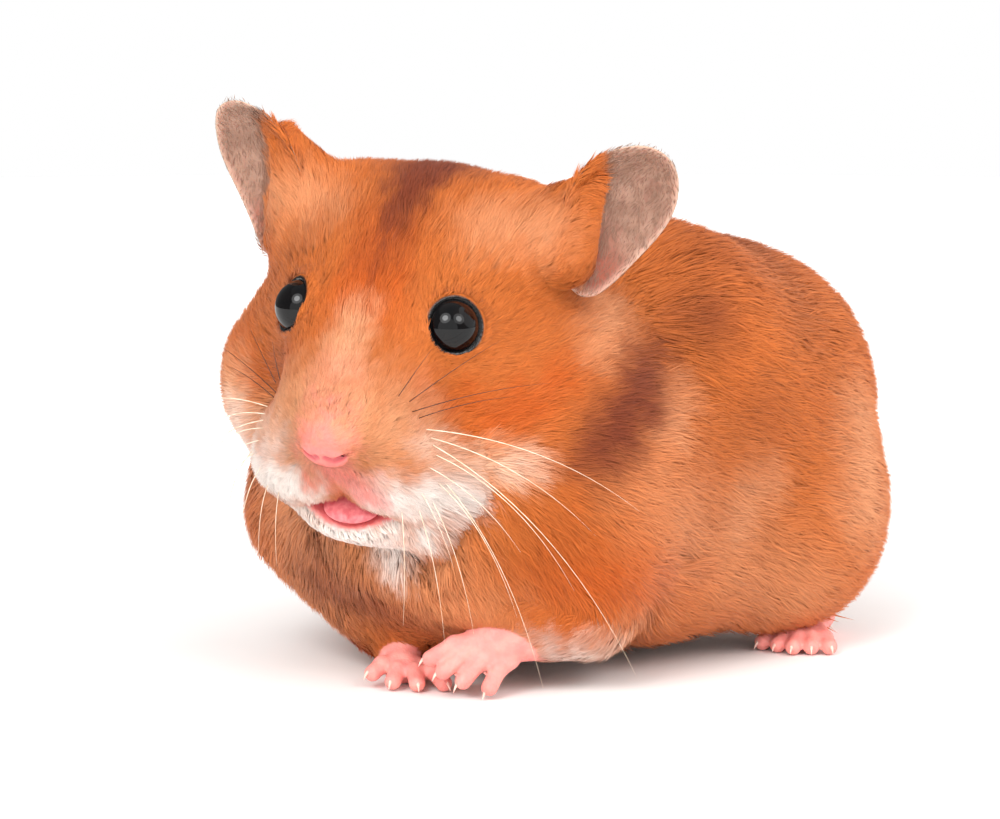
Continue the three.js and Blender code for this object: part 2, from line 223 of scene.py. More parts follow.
def blend(reach: float, *fields: Field) -> Field:
    """Forms run together with a fillet.

    Args:
        reach: how far from each other two surfaces begin to join.
        fields: the forms.

    Returns:
        The field of the joined form.
    """
    def distance(points: Points) -> np.ndarray:
        """The distance from the joined form."""
        result = fields[0](points)
        for other in fields[1:]:
            result = smooth_minimum(result, other(points), reach)
        return result
    return distance


def carve(reach: float, form: Field, cutter: Field) -> Field:
    """A form with a cutter taken out of it, its edge rounded."""
    return lambda points: -smooth_minimum(-form(points), cutter(points), reach)


def mirrored(form: Field) -> Field:
    """A form of the left side, on both sides."""
    return lambda points: form(np.stack([np.abs(points[0]), points[1], points[2]]))


def in_frame(matrix: np.ndarray, form: Field) -> Field:
    """A form that was made in a frame, in the frame outside it."""
    inverse = np.linalg.inv(matrix)
    return lambda points: form(moved(points, inverse))


def slope(form: Field, points: Points, step: float = 0.05) -> Points:
    """The direction in which a field grows, from four samples round each point.

    Args:
        form: the field.
        points: where to read it.
        step: how far off the samples are.

    Returns:
        A vector for each point, of length 1 where the field is a true distance.
    """
    corners = np.array([[1, -1, -1], [-1, -1, 1], [-1, 1, -1], [1, 1, 1]], np.float32)
    total = np.zeros_like(points)
    for corner in corners:
        total += corner[:, None] * form(points + step * corner[:, None])
    return total / (4 * step)


def settled(form: Field, points: Points, rounds: int = 2) -> Points:
    """Points stepped onto the level 0 of a field.

    Args:
        form: the field.
        points: places near its level 0.
        rounds: how many steps are taken.

    Returns:
        The places on the surface.
    """
    for _ in range(rounds):
        rise = slope(form, points)
        points = points - rise * form(points) / np.maximum((rise * rise).sum(0), 0.25)
    return points


# ---- the animal's form
@dataclass(frozen=True)
class Ear:
    """Where one ear stands in the head's frame, and the fur in front of it and on its edge."""

    side: int
    middle: Triple
    turn: float
    lean: float
    tuft: Triple
    hem: tuple[Triple, Triple]
    bare_from: float
    tuft_foot: Triple = (12, 14, 3)

    def tuft_ends(self) -> tuple[Triple, Triple]:
        """Where the fur in front of the ear begins and ends."""
        return sided(self.tuft_foot, self.side), sided(self.tuft, self.side)

    def tuft_form(self) -> Field:
        """The fur in front of the ear."""
        return round_cone(*self.tuft_ends(), 6.5, 1.9)

    def hem_form(self) -> Field:
        """The fur along the ear's front edge."""
        return round_cone(*(sided(point, self.side) for point in self.hem), 4.4, 1)


@dataclass(frozen=True)
class Paw:
    """A paw: its palm, from the wrist to the knuckles, and each digit's two ends."""

    wrist: Triple
    ball: Triple
    radii: tuple[float, float]
    knuckles: tuple[Triple, ...]
    tips: tuple[Triple, ...]
    arch: float = 0.7

    def form(self, digit: tuple[float, float] = (1.3, 1.02)) -> Field:
        """The paw's field, each digit bent up a little at its middle joint.

        Args:
            digit: a digit's radius at its root and at its tip.

        Returns:
            The field.
        """
        pieces = [round_cone(self.wrist, self.ball, *self.radii)]
        for knuckle, tip in zip(self.knuckles, self.tips):
            joint = tuple(np.add(lerp(np.array(knuckle), np.array(tip), 0.55), (0, 0, self.arch)))
            pieces.append(blend(0.5, round_cone(knuckle, joint, digit[0], digit[1] + 0.05),
                                round_cone(joint, tip, digit[1] - 0.02, digit[1])))
        return blend(0.55, *pieces)


@dataclass(frozen=True)
class Depths:
    """The coat's depth in millimetres, from its outline down to the skin."""

    trunk: float = 3.6
    cheeks: float = 2.1
    crown: float = 2.5
    breast: float = 2.0
    muzzle: float = 0.7
    eyes: float = 0.35
    chin: float = 0.5
    nose: float = 0.0
    wrists: float = 0.6
    ear_hems: float = 0.8
    tail: float = 0.5


@dataclass(frozen=True)
class Anatomy:
    """The animal's driving dimensions in millimetres, and the fields made from them."""

    eyes_middle: Triple = (4.95, -27.95, 47.2)
    head_turn: float = 21.5
    head_nod: float = 23
    head_roll: float = 5
    eye_radius: float = 3.4
    eye: Triple = (9.65, -0.85, -0.6)
    eye_out: float = 52
    eye_up: float = 30
    lid_share: float = 0.3
    lid_reach: float = 3.45
    lid_thickness: float = 0.65
    skull: Egg = ((0, 14.5, -4.5), (19.5, 17, 15.3))
    temple: Egg = ((11.5, 15, 3), (8.5, 9, 7))
    brow: Egg = ((0, 1, -5), (11, 12.5, 9.5))
    muzzle: Egg = ((0, -8, -9), (9.8, 10.2, 8.6))
    cheek: Egg = ((13.6, 9, -16), (12.6, 14, 12.5))
    upper_lip: Egg = ((5.3, -8.8, -14.3), (7.6, 8.6, 7.2))
    jowl: Egg = ((9.3, -6.8, -17.5), (6, 6.5, 6))
    chin: Egg = ((0, -8.8, -21.2), (8.8, 7.6, 4.5))
    throat: Egg = ((0, -15.5, -27.4), (9, 6.4, 3))
    nose: Triple = (0, -17.2, -8.2)
    nose_radii: Triple = (3.1, 2.2, 2.3)
    mouth: Triple = (0.6, -15.0, -19.1)
    mouth_radii: Triple = (5.8, 5, 1.55)
    mouth_tilt: float = 20
    lip: Triple = (4.3, -12.6, -15.9)
    lip_radii: Triple = (4.8, 3.6, 3.2)
    neck: Taper = ((1, -3, 30), (3.5, -10, 35), 22.5, 17)
    withers: Egg = ((12, 14, 43), (14, 12, 12.4))
    chest: Egg = ((-1.5, -7.2, 25), (32, 23.5, 23.5))
    waist: Egg = ((0, 11, 28.3), (28, 27, 25.3))
    belly: Egg = ((12.5, 11, 13.5), (14.5, 22, 11))
    thigh: Egg = ((20, 30, 16), (12, 15.5, 14.5))
    rump: Egg = ((0, 26.4, 28.6), (29, 26.8, 24.8))
    rump_fullness: float = 2.45
    tail: Taper = ((0, 50, 14), (0, 57.5, 10.5), 3.2, 1.8)
    left_foreleg: tuple[Taper, Taper] = (
        ((20, -9, 18), (20, -8, 11.5), 9.5, 6), ((20, -8, 10), (17.5, -11.8, 8), 6, 3.8))
    right_foreleg: tuple[Taper, Taper] = (
        ((-16.4, -16.6, 18), (-9, -17.6, 8.3), 11, 5.2), ((-8, -15, 7), (-2, -19, 4), 4.5, 3))
    face_middle: Triple = (0, 8, -6)
    chin_front: Triple = (0, -12, -22)
    breast: Triple = (2, -27, 14)
    ears: tuple[Ear, Ear] = (
        Ear(1, (23.2, 17.5, 7.9), 35, 33, (21.4, 15, 11.2), ((19.4, 11.6, 3.6), (23.6, 14.9, 14)),
            -2.6),
        Ear(-1, (18.9, 15.5, 9.6), 20, 18, (17.3, 14, 14.6), ((15, 12.5, 3), (17.4, 13.2, 14)),
            0))
    forepaws: tuple[Paw, Paw] = (
        Paw((18, -11, 7.6), (14, -17.2, 6.3), (3.1, 2.8),
            ((13.4, -18.8, 6.9), (14.1, -18.4, 6.1), (14.9, -17.8, 5.3), (15.9, -16.8, 4.5)),
            ((9.4, -23.8, 4.7), (11.2, -23.4, 3.3), (13.2, -22, 2.2), (15.7, -20, 1.5))),
        Paw((-2, -18.5, 3.8), (2, -21.5, 2.2), (2.5, 2.1),
            ((1, -22, 2.2), (2.2, -21.5, 1.9), (3, -20.8, 1.9), (3.4, -19.8, 1.9)),
            ((1.2, -25.8, 1.9), (4, -25, 1.2), (6.6, -23.4, 1.1), (8.8, -21, 1.1))))
    foot_heel: Triple = (18, 39, 2.5)
    foot_ball: Triple = (22.5, 31, 2.2)
    toe_roots: Triple = (23, 30, 1.9)
    toe_ahead: tuple[float, float] = (0.45, -0.89)
    toe_across: tuple[float, float] = (0.89, 0.45)
    coat: Depths = Depths()

    @property
    def head(self) -> np.ndarray:
        """The head's frame, from midway between the eyes: x left, y back, z up."""
        return placed(self.eyes_middle, ("z", self.head_turn), ("x", self.head_nod),
                      ("y", self.head_roll))

    @property
    def eye_frame(self) -> np.ndarray:
        """The left eye's frame inside the head's, with z looking out."""
        return placed(self.eye, ("z", self.eye_out), ("x", 90 - self.eye_up))

    @property
    def mouth_frame(self) -> np.ndarray:
        """The mouth's frame, its x across the lips."""
        return self.head @ placed(self.mouth, ("x", self.mouth_tilt))

    def in_head(self, points: Points) -> Points:
        """Points as the head's frame sees them."""
        return moved(points, np.linalg.inv(self.head))

    def eye_centre(self, side: int) -> Points:
        """The middle of one eyeball."""
        return moved(column(sided(self.eye, side)), self.head)

    def in_eye(self, points: Points) -> Points:
        """Points as the nearer eye's frame sees them, the right eye mirrored onto the left."""
        inside = self.in_head(points)
        inside[0] = np.abs(inside[0])
        return moved(inside, np.linalg.inv(self.eye_frame))

    def ear_frame(self, ear: Ear) -> np.ndarray:
        """An ear's frame: x back across it, y behind it and z up along it."""
        flip = np.diag([ear.side, 1, 1, 1])
        return self.head @ flip @ placed(ear.middle, ("z", ear.turn), ("y", ear.lean))

    def hindfoot(self) -> Paw:
        """The left hind foot with its five toes.

        Returns:
            The foot.
        """
        ahead, across = np.array((*self.toe_ahead, 0)), np.array((*self.toe_across, 0))
        roots, tips = [], []
        for place in range(-2, 3):
            root = np.array(self.toe_roots) + across * place * 1.1
            reach = lerp(5.2, 3.6, abs(place) / 2)
            tip = root + ahead * reach + across * place * 1.1
            roots.append(tuple(root))
            tips.append((tip[0], tip[1], 1.1))
        return Paw(self.foot_heel, self.foot_ball, (2.5, 2.6), tuple(roots), tuple(tips), 0.35)

    def eye_surround(self, face: Field) -> Field:
        """A face with room cleared for each eye and a ring of lid round it.

        Args:
            face: the head's form, in the head's frame.

        Returns:
            The form with both eye sockets.
        """
        lids = self.lid_share * self.eye_radius
        clearing = ellipsoid((0, 0, lids + 2.6), (4.2, 4.2, 2.5))

        def rim(points: Points) -> np.ndarray:
            """A ring of lid, round in section."""
            across = np.hypot(points[0], points[1]) - self.lid_reach
            return np.hypot(across, points[2] - lids) - self.lid_thickness

        cleared = carve(1.5, face, mirrored(in_frame(self.eye_frame, clearing)))
        return blend(1.2, cleared, mirrored(in_frame(self.eye_frame, rim)))

    def head_form(self) -> Field:
        """The head out to its coat.

        Returns:
            The field.
        """
        form = blend(5, ellipsoid(*self.skull), mirrored(ellipsoid(*self.temple)))
        for ear in self.ears:
            form = blend(2, blend(3, form, ear.tuft_form()), ear.hem_form())
        form = blend(7, form, ellipsoid(*self.brow))
        form = blend(5, form, ellipsoid(*self.muzzle))
        form = blend(7, form, mirrored(ellipsoid(*self.cheek)))
        form = blend(3, form, mirrored(ellipsoid(*self.upper_lip)))
        form = blend(4, form, mirrored(ellipsoid(*self.jowl)))
        form = blend(2, form, ellipsoid(*self.chin))
        form = blend(1.6, form, ellipsoid(self.nose, self.nose_radii))
        return in_frame(self.head, self.eye_surround(form))

    def trunk_form(self) -> Field:
        """The trunk and thighs out to their coat.

        Returns:
            The field.
        """
        rump = boxy_ellipsoid(*self.rump, self.rump_fullness)
        barrel = blend(10, rump, ellipsoid(*self.waist), ellipsoid(*self.chest))
        pairs = (mirrored(ellipsoid(*egg)) for egg in (self.withers, self.belly, self.thigh))
        return blend(8, barrel, *pairs)

    def forelegs(self) -> Field:
        """Both forelegs down to the wrists.

        Returns:
            The field.
        """
        legs = (blend(3, *(round_cone(*part) for part in leg))
                for leg in (self.left_foreleg, self.right_foreleg))
        return blend(3, *legs)

    def outline(self) -> Field:
        """The body out to the tips of its coat.

        Returns:
            The field, whose level 0 the tips keep under.
        """
        throat = in_frame(self.head, ellipsoid(*self.throat))
        core = carve(3, blend(8, self.trunk_form(), round_cone(*self.neck)), throat)
        tailed = blend(3, blend(4, core, self.head_form()), round_cone(*self.tail))
        return blend(5, tailed, self.forelegs())

    def paws(self) -> Field:
        """All four bare paws."""
        fore = [paw.form() for paw in self.forepaws]
        return blend(0.4, *fore, mirrored(self.hindfoot().form((1.35, 1.05))))

    def coat_depth(self, points: Points) -> np.ndarray:
        """How far the skin lies inside the coat's outline.

        Args:
            points: where to read it.

        Returns:
            The depth in millimetres, 0 at the nose pad.
        """
        inside, coat = self.in_head(points), self.coat
        on_head = nearness(inside, self.face_middle, 34, 20)
        head = lerp(coat.cheeks, coat.crown, ramp(inside[2], -2, 9))
        nose = length_of((inside - column(self.nose)) / column((1.15, 1, 1)))
        return layered(
            lerp(coat.trunk, head, on_head),
            (coat.breast, nearness(points, self.breast, 20, 10) * (1 - on_head)),
            (coat.muzzle, nearness(inside, (0, -14, -13.5), 16, 7)),
            (coat.eyes, ramp(length_of(self.in_eye(points)), 15, 3.2)),
            (coat.chin, nearness(inside, self.chin_front, 12, 7)),
            (coat.nose, ramp(nose, 5.2, 2.6)),
            (coat.wrists, ramp(self.forepaw_distance(points), 9, 2)),
            (coat.ear_hems, ramp(self.hem_distance(inside), 4, 1)),
            (coat.tail, ramp(round_cone(*self.tail)(points), 2.5, 0)))

    def hem_distance(self, inside: Points) -> np.ndarray:
        """The distance from the nearer ear's edge fur, in the head's frame."""
        return np.minimum(*(ear.hem_form()(inside) for ear in self.ears))

    def forepaw_distance(self, points: Points) -> np.ndarray:
        """The distance from the nearer forepaw's palm."""
        palms = [round_cone(paw.wrist, paw.ball, *paw.radii)(points) for paw in self.forepaws]
        return np.minimum(*palms)

    def mouth_form(self) -> Field:
        """The space between the lips."""
        return in_frame(self.mouth_frame, ellipsoid((0, 0, 0), self.mouth_radii))

    def nose_cuts(self) -> Field:
        """The nostrils and the cleft below them, in the head's frame.

        Returns:
            The field.
        """
        nostril = blend(0.2, round_cone((0.6, -19.2, -9.3), (1.5, -18.9, -10), 0.26, 0.44),
                        round_cone((1.5, -18.9, -10), (2.9, -17.7, -8.7), 0.44, 0.24))
        cleft = round_cone((0, -19.4, -10.3), (0, -16.9, -15.2), 0.28, 0.42)
        return blend(0.3, mirrored(nostril), cleft)

    def skin(self) -> Field:
        """The skin under the coat, with the nose, the lips and the bare paws.

        Returns:
            The field.
        """
        outline, mouth, paws = self.outline(), self.mouth_form(), self.paws()
        cuts = in_frame(self.head, self.nose_cuts())

        def flesh(points: Points) -> np.ndarray:
            """The outline drawn in by the coat's depth."""
            return outline(points) + self.coat_depth(points)

        lips = in_frame(self.head, mirrored(ellipsoid(self.lip, self.lip_radii)))
        return blend(1.4, carve(0.5, blend(0.6, carve(0.8, flesh, mouth), lips), cuts), paws)


# ---- markings, with some painted light and shade
class Mark(Enum):
    """What a marking does to the coat."""

    DARK = 0
    PALE = 1
    WHITE = 2
    AMBER = 3
    BLUSH = 4
    BARE = 5


@dataclass(frozen=True)
class Patch:
    """A marking along a chain of points, each with its radius, fading over its softness."""

    mark: Mark
    chain: tuple[tuple[float, float, float, float], ...]
    softness: float
    strength: float = 1.0
    both_sides: bool = True

    def cover(self, points: Points) -> np.ndarray:
        """How far the patch covers each point.

        Args:
            points: where to read it, in the frame of the patch's table.

        Returns:
            Its strength at each point, from 0 to 1.
        """
        if self.both_sides:
            points = np.stack([np.abs(points[0]), points[1], points[2]])
        links = list(zip(self.chain, self.chain[1:])) or [(self.chain[0], self.chain[0])]
        nearest = np.full(points.shape[1], 1e3, np.float32)
        for start, end in links:
            if start == end:
                link = length_of(points - column(start[:3])) - start[3]
            else:
                link = round_cone(start[:3], end[:3], start[3], end[3])(points)
            nearest = np.minimum(nearest, link)
        return self.strength * ramp(nearest, self.softness, -self.softness)


# Points of the left side, which stand for the right one too unless a patch says otherwise.
# The first table is in the head's frame, and the second in the working frame.
HEAD_PATCHES = (
    Patch(Mark.DARK, ((0, 32, 2, 8), (0, 20, 9, 6.5)), 5, 0.7),
    Patch(Mark.DARK, ((0, 18, 10, 4.6), (0, 9, 9.5, 2.8), (-0.4, 1.5, 7.2, 1.5),
                      (-0.6, -2, 5, 0.8)), 2.4, 1.0),
    Patch(Mark.DARK, ((0.5, 3, 8, 0.8), (2.6, -0.4, 5.8, 0.9), (5.6, -1.2, 4.6, 0.4)), 1.6, 0.4),
    Patch(Mark.PALE, ((11, 8, 9, 3.5), (17.5, 10, 7.5, 3.5)), 4, 0.4),
    Patch(Mark.PALE, ((10.5, -12.5, -10, 1.6), (15, -10.3, -14, 2.8), (20.5, -7.5, -14.5, 2)), 2.8,
          0.8),
    Patch(Mark.PALE, ((24.3, 8, -6.5, 2), (23.5, 17, -5.5, 2.6)), 4, 0.5),
    Patch(Mark.PALE, ((0, -12, -1.5, 2.4), (0, -6, 1.5, 1.6)), 3.4, 0.9),
    Patch(Mark.PALE, ((0, -13, -8, 8.5), (5, -12, -9, 6)), 4, 0.6),
    Patch(Mark.WHITE, ((-7.5, -16.4, -9.5, 1.4), (-9, -15, -13, 3)), 3, 0.6, both_sides=False),
    Patch(Mark.WHITE, ((9.9, -12.9, -9.6, 1), (13, -11, -12.4, 1.6), (17, -9, -14.6, 1.4),
                       (21, -7, -14.4, 1)), 2.8, 0.4),
    Patch(Mark.WHITE, ((5.5, -17, -16, 3.2), (11, -13.8, -16.4, 3.4), (14, -10.5, -18, 2.4)), 2.4),
    Patch(Mark.WHITE, ((0, -13, -23, 4.6), (8, -9, -21, 5)), 1.8),
    Patch(Mark.DARK, ((0, 9, 9.5, 3.6), (-0.4, 1, 7, 3), (-0.6, -2, 5, 1)), 4, 0.4),
    Patch(Mark.PALE, ((-21, -1.6, -12, 3), (-19.5, -3.2, -15, 4)), 4, 0.8, both_sides=False),
    Patch(Mark.WHITE, ((-19.6, -3.2, -16.6, 2.6), (-20, -2, -21, 4)), 4, 0.6, both_sides=False),
    Patch(Mark.AMBER, ((0, 5, 8, 3), (0, 2, 7, 3.6), (0.6, -4, 3, 4)), 4, 1.0),
    Patch(Mark.AMBER, ((10.5, -9.5, -6, 2.6), (16, -6, -9, 3.2), (20.5, -2.6, -8, 3),
                       (23, 2, -6, 2.4)), 3, 1.0),
    Patch(Mark.BLUSH, ((0, -18, -8.5, 3.6), (0, -15, -5.2, 2)), 2.2, 1.0),
    Patch(Mark.BLUSH, ((0, -18, -12.4, 2.2), (0.6, -17.6, -14.6, 1.8)), 2.4, 0.9),
    Patch(Mark.BLUSH, ((1, -18, -12.4, 2.6), (4, -17.2, -14.8, 2.2)), 2.4, 0.95, both_sides=False),
    Patch(Mark.BLUSH, ((0, -12, -2.4, 2.4),), 3, 0.35),
)
BODY_PATCHES = (
    Patch(Mark.DARK, ((23.6, 1.3, 42.6, 2.2), (24.9, -3.3, 40.5, 3.2), (26.9, -6.2, 37, 4),
                      (27.9, -11.6, 33.3, 4), (27.6, -15.6, 30.3, 3)), 3, 1.0),
    Patch(Mark.DARK, ((23.4, 8, 44.7, 3.4),), 5, 0.75),
    Patch(Mark.DARK, ((19, 13.8, 50, 5),), 6, 0.5),
    Patch(Mark.DARK, ((29.8, 13.7, 32.7, 4),), 6, 0.35),
    Patch(Mark.PALE, ((27.3, 0.6, 37.3, 2), (29.3, -2.9, 32.6, 3)), 4, 0.5),
    Patch(Mark.PALE, ((29.8, 12.5, 23.8, 3), (29.4, 9.1, 18.9, 4)), 5, 0.55),
    # Painted light: pales the rump where light from behind falls on it.
    Patch(Mark.PALE, ((29.3, 34.4, 30, 5), (32.2, 31.7, 20.3, 6)), 6, 0.5),
    Patch(Mark.DARK, ((0, 4, 54, 10), (0, 40, 50, 10)), 10, 0.5),
    Patch(Mark.PALE, ((31, -8, 27, 5), (29, 5, 16, 6), (29, 22, 9, 6)), 7, 0.3),
    Patch(Mark.PALE, ((4, -27, 20, 12), (10, -20, 12, 8)), 6, 0.3),
    # Painted shade: darkens the lower chest just above the forepaws, where shade falls.
    Patch(Mark.DARK, ((-8, -27, 12, 4), (4, -25, 8.5, 4)), 5, 0.8, both_sides=False),
    Patch(Mark.WHITE, ((5.5, -24, 23, 3), (5.6, -27, 18.4, 3.3), (7.4, -27.5, 15, 2)), 2.6,
          1.0, both_sides=False),
    Patch(Mark.WHITE, ((0, 0, -2, 10), (0, 38, -2, 14)), 6, 0.9),
    Patch(Mark.WHITE, ((17.5, -12, 8, 3.4), (21, -9, 6, 3.6)), 3, 0.8, both_sides=False),
    Patch(Mark.PALE, ((24, -6, 6, 4), (28, 0, 4, 4)), 5, 0.6),
    Patch(Mark.AMBER, ((26.8, -16.6, 16, 6), (29, 0, 12, 4)), 6, 0.8),
    Patch(Mark.BLUSH, ((0, 54.5, 12, 2), (0, 58, 10, 2)), 3, 0.7),
)


@dataclass(frozen=True)
class Markings:
    """The markings that skin and coat share, with some painted light and shade among them."""

    anatomy: Anatomy
    ragged: float = 0.6
    nose_pad: Triple = (0, -18.4, -9.4)
    nose_pad_shape: Triple = (1.3, 1, 0.85)

    def read(self, points: Points) -> np.ndarray:
        """How strong each marking is at each point.

        Args:
            points: where to read them.

        Returns:
            A row of shares from 0 to 1 for each Mark, in its order.
        """
        wander = np.stack([ripple(points, 3.5, 40 + axis) + 0.6 * ripple(points, 1.3, 50 + axis)
                           for axis in range(3)])
        shifted = points + self.ragged * wander
        inside = self.anatomy.in_head(shifted)
        cover = np.zeros((len(Mark), points.shape[1]), np.float32)
        for patches, spots in ((HEAD_PATCHES, inside), (BODY_PATCHES, shifted)):
            for patch in patches:
                row = cover[patch.mark.value]
                np.maximum(row, patch.cover(spots), out=row)
        cover[Mark.BARE.value] = self.bare(points)
        return cover

    def bare(self, points: Points) -> np.ndarray:
        """Where the skin has no coat: nose pad, mouth, lid rims, digits and palms.

        Args:
            points: where to read it.

        Returns:
            How bare each point is, from 0 to 1.
        """
        anatomy = self.anatomy
        inside = anatomy.in_head(points)
        from_nose = (inside - column(self.nose_pad)) / column(self.nose_pad_shape)
        nose = ramp(length_of(from_nose), 2.6, 1.9)
        mouth = ramp(anatomy.mouth_form()(points), 0.55, 0.15)
        lids = ramp(length_of(anatomy.in_eye(points)), 4.05, 3.8)
        paws = ramp(anatomy.paws()(points), 0.7, 0.1)
        return np.maximum.reduce([nose, mouth, lids, paws])


# ---- meshes
@dataclass(frozen=True)
class Placement:
    """Where the working frame lies in the model's frame."""

    shift: Points

    @classmethod
    def from_eye(cls, anatomy: Anatomy) -> "Placement":
        """Found from where the left eyeball stands."""
        low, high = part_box("eye_left")
        middle = np.array((low + high) / 2, np.float32).reshape(3, 1) / MM
        return cls(middle - anatomy.eye_centre(1))

    def metres(self, points: Points) -> np.ndarray:
        """Points as rows in metres in the model's frame."""
        return ((points + self.shift) * MM).T.astype(np.float32)


def mesh_of(name: str, rows: np.ndarray, faces: np.ndarray, smooth: bool = True) -> bpy.types.Mesh:
    """A mesh from arrays.

    Args:
        name: the mesh's name.
        rows: one point in metres to a row.
        faces: vertex numbers, one face to a row, all with as many corners.
        smooth: whether faces are shaded smooth.

    Returns:
        The mesh.
    """
    mesh = bpy.data.meshes.new(name)
    corners = faces.shape[1]
    mesh.vertices.add(len(rows))
    mesh.vertices.foreach_set("co", np.ascontiguousarray(rows, np.float32).ravel())
    mesh.loops.add(faces.size)
    mesh.loops.foreach_set("vertex_index", faces.astype(np.int32).ravel())
    mesh.polygons.add(len(faces))
    mesh.polygons.foreach_set("loop_start", np.arange(0, faces.size, corners, dtype=np.int32))
    mesh.update(calc_edges=True)
    mesh.polygons.foreach_set("use_smooth", np.full(len(faces), smooth))
    return mesh


def finished(edit: bmesh.types.BMesh, name: str) -> bpy.types.Mesh:
    """The mesh of an edit, shaded smooth. The edit is freed.

    Args:
        edit: what was built.
        name: the mesh's name.

    Returns:
        The mesh.
    """
    mesh = bpy.data.meshes.new(name)
    edit.to_mesh(mesh)
    edit.free()
    mesh.polygons.foreach_set("use_smooth", np.full(len(mesh.polygons), True))
    return mesh


def sphere_edit(radius: float) -> bmesh.types.BMesh:
    """An edit that holds a fine sphere round the origin."""
    edit = bmesh.new()
    bmesh.ops.create_uvsphere(edit, u_segments=64, v_segments=40, radius=radius)
    return edit


def object_of(mesh: bpy.types.Mesh, material: bpy.types.Material | None = None,
              slot: str | None = None) -> bpy.types.Object:
    """An object of a mesh, which rides on the body where a slot is given.

    Args:
        mesh: the shape.
        material: its finish.
        slot: for a piece of the model, any text; the piece then rides on the body, and the text
            itself is not used. Other objects have none.

    Returns:
        The object.
    """
    piece = bpy.data.objects.new(mesh.name, mesh)
    bpy.context.scene.collection.objects.link(piece)
    if material is not None:
        mesh.materials.append(material)
    if slot is not None:
        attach(piece, BODY)
        LOG.info("%s: %d faces", piece.name, len(mesh.polygons))
    return piece


def write_vectors(mesh: bpy.types.Mesh, name: str, rows: np.ndarray) -> None:
    """A vector for each vertex, three numbers to a row, that materials can read."""
    layer = mesh.attributes.new(name, "FLOAT_VECTOR", "POINT")
    layer.data.foreach_set("vector", np.ascontiguousarray(rows, np.float32).ravel())


def write_markings(mesh: bpy.types.Mesh, marks: np.ndarray) -> None:
    """The markings of each vertex, as the materials read them."""
    write_vectors(mesh, "marks_dark_pale_white", marks[:3].T)
    write_vectors(mesh, "marks_amber_blush_bare", marks[3:].T)


@dataclass(frozen=True)
class Net:
    """Turns a field into a mesh of even quads."""

    low: Triple
    high: Triple
    cell: float
    coarse: int = 4

    def sampled(self, form: Field, axes: list[np.ndarray]) -> np.ndarray:
        """The field on the grid, exact only near the surface.

        Args:
            form: the field.
            axes: the grid's places along x, y and z.

        Returns:
            The field at each grid point, which further off is a coarse sample.
        """
        thin = [axis[::self.coarse] for axis in axes]
        grid = np.stack([part.ravel() for part in np.meshgrid(*thin, indexing="ij")])
        rough = form(grid).reshape([len(axis) for axis in thin])
        for axis in range(3):
            rough = np.repeat(rough, self.coarse, axis=axis)
        values = rough[tuple(slice(0, len(axis)) for axis in axes)].copy()
        near = np.nonzero(np.abs(values) < 2.6 * self.cell * self.coarse)
        values[near] = form(np.stack([axes[i][near[i]] for i in range(3)]))
        return values

    def mesh(self, form: Field) -> tuple[Points, np.ndarray]:
        """One vertex in each crossed cell, and one quad round each crossed grid edge.

        Args:
            form: the field.

        Returns:
            The vertices, and the numbers of each quad's four corners.
        """
        axes = [np.arange(low, high + self.cell, self.cell, dtype=np.float32)
                for low, high in zip(self.low, self.high)]
        values = self.sampled(form, axes)
        cells = tuple(len(axis) - 1 for axis in axes)
        offset = np.zeros((3, *cells), np.float32)
        hits = np.zeros(cells, np.float32)
        orders = [(axis, (axis + 1) % 3, (axis + 2) % 3) for axis in range(3)]
        for order in orders:
            self.gather(values.transpose(order), hits.transpose(order),
                        [offset[i].transpose(order) for i in order])
        filled = np.nonzero(hits)
        number = np.full(cells, -1)
        number[filled] = np.arange(len(filled[0]))
        places = np.stack([filled[i] + offset[i][filled] / hits[filled] for i in range(3)])
        points = (places * self.cell + column(self.low)).astype(np.float32)
        quads = [self.quads(values.transpose(order), number.transpose(order))
                 for order in orders]
        return points, np.concatenate(quads)

    @staticmethod
    def gather(values: np.ndarray, hits: np.ndarray, moves: list[np.ndarray]) -> None:
        """Adds the crossings on the grid edges along one axis to the cells round them.

        Args:
            values: the field, with that axis first.
            hits: how many crossings each cell has, which grows.
            moves: the sums of their places in the cell, which grow.
        """
        below, above = values[:-1], values[1:]
        crossed = (below < 0) != (above < 0)
        share = np.where(crossed, below / np.where(crossed, below - above, 1), 0)
        for first in (0, 1):
            for second in (0, 1):
                window = (slice(None), slice(first, first + hits.shape[1]),
                          slice(second, second + hits.shape[2]))
                touched = crossed[window]
                hits += touched
                moves[0] += share[window] * touched
                moves[1] += first * touched
                moves[2] += second * touched

    @staticmethod
    def quads(values: np.ndarray, number: np.ndarray) -> np.ndarray:
        """A quad round each crossed grid edge along one axis.

        Args:
            values: the field, with that axis first.
            number: each cell's vertex number, with that axis first.

        Returns:
            Four vertex numbers to a row, in order seen from outside.
        """
        inside = values[:-1] < 0
        crossed = inside != (values[1:] < 0)
        at = np.nonzero(crossed[:, 1:-1, 1:-1])
        i, j, k = at[0], at[1] + 1, at[2] + 1
        ring = np.stack([number[i, j - 1, k - 1], number[i, j, k - 1],
                         number[i, j, k], number[i, j - 1, k]], 1)
        return np.where(inside[i, j, k][:, None], ring, ring[:, ::-1])


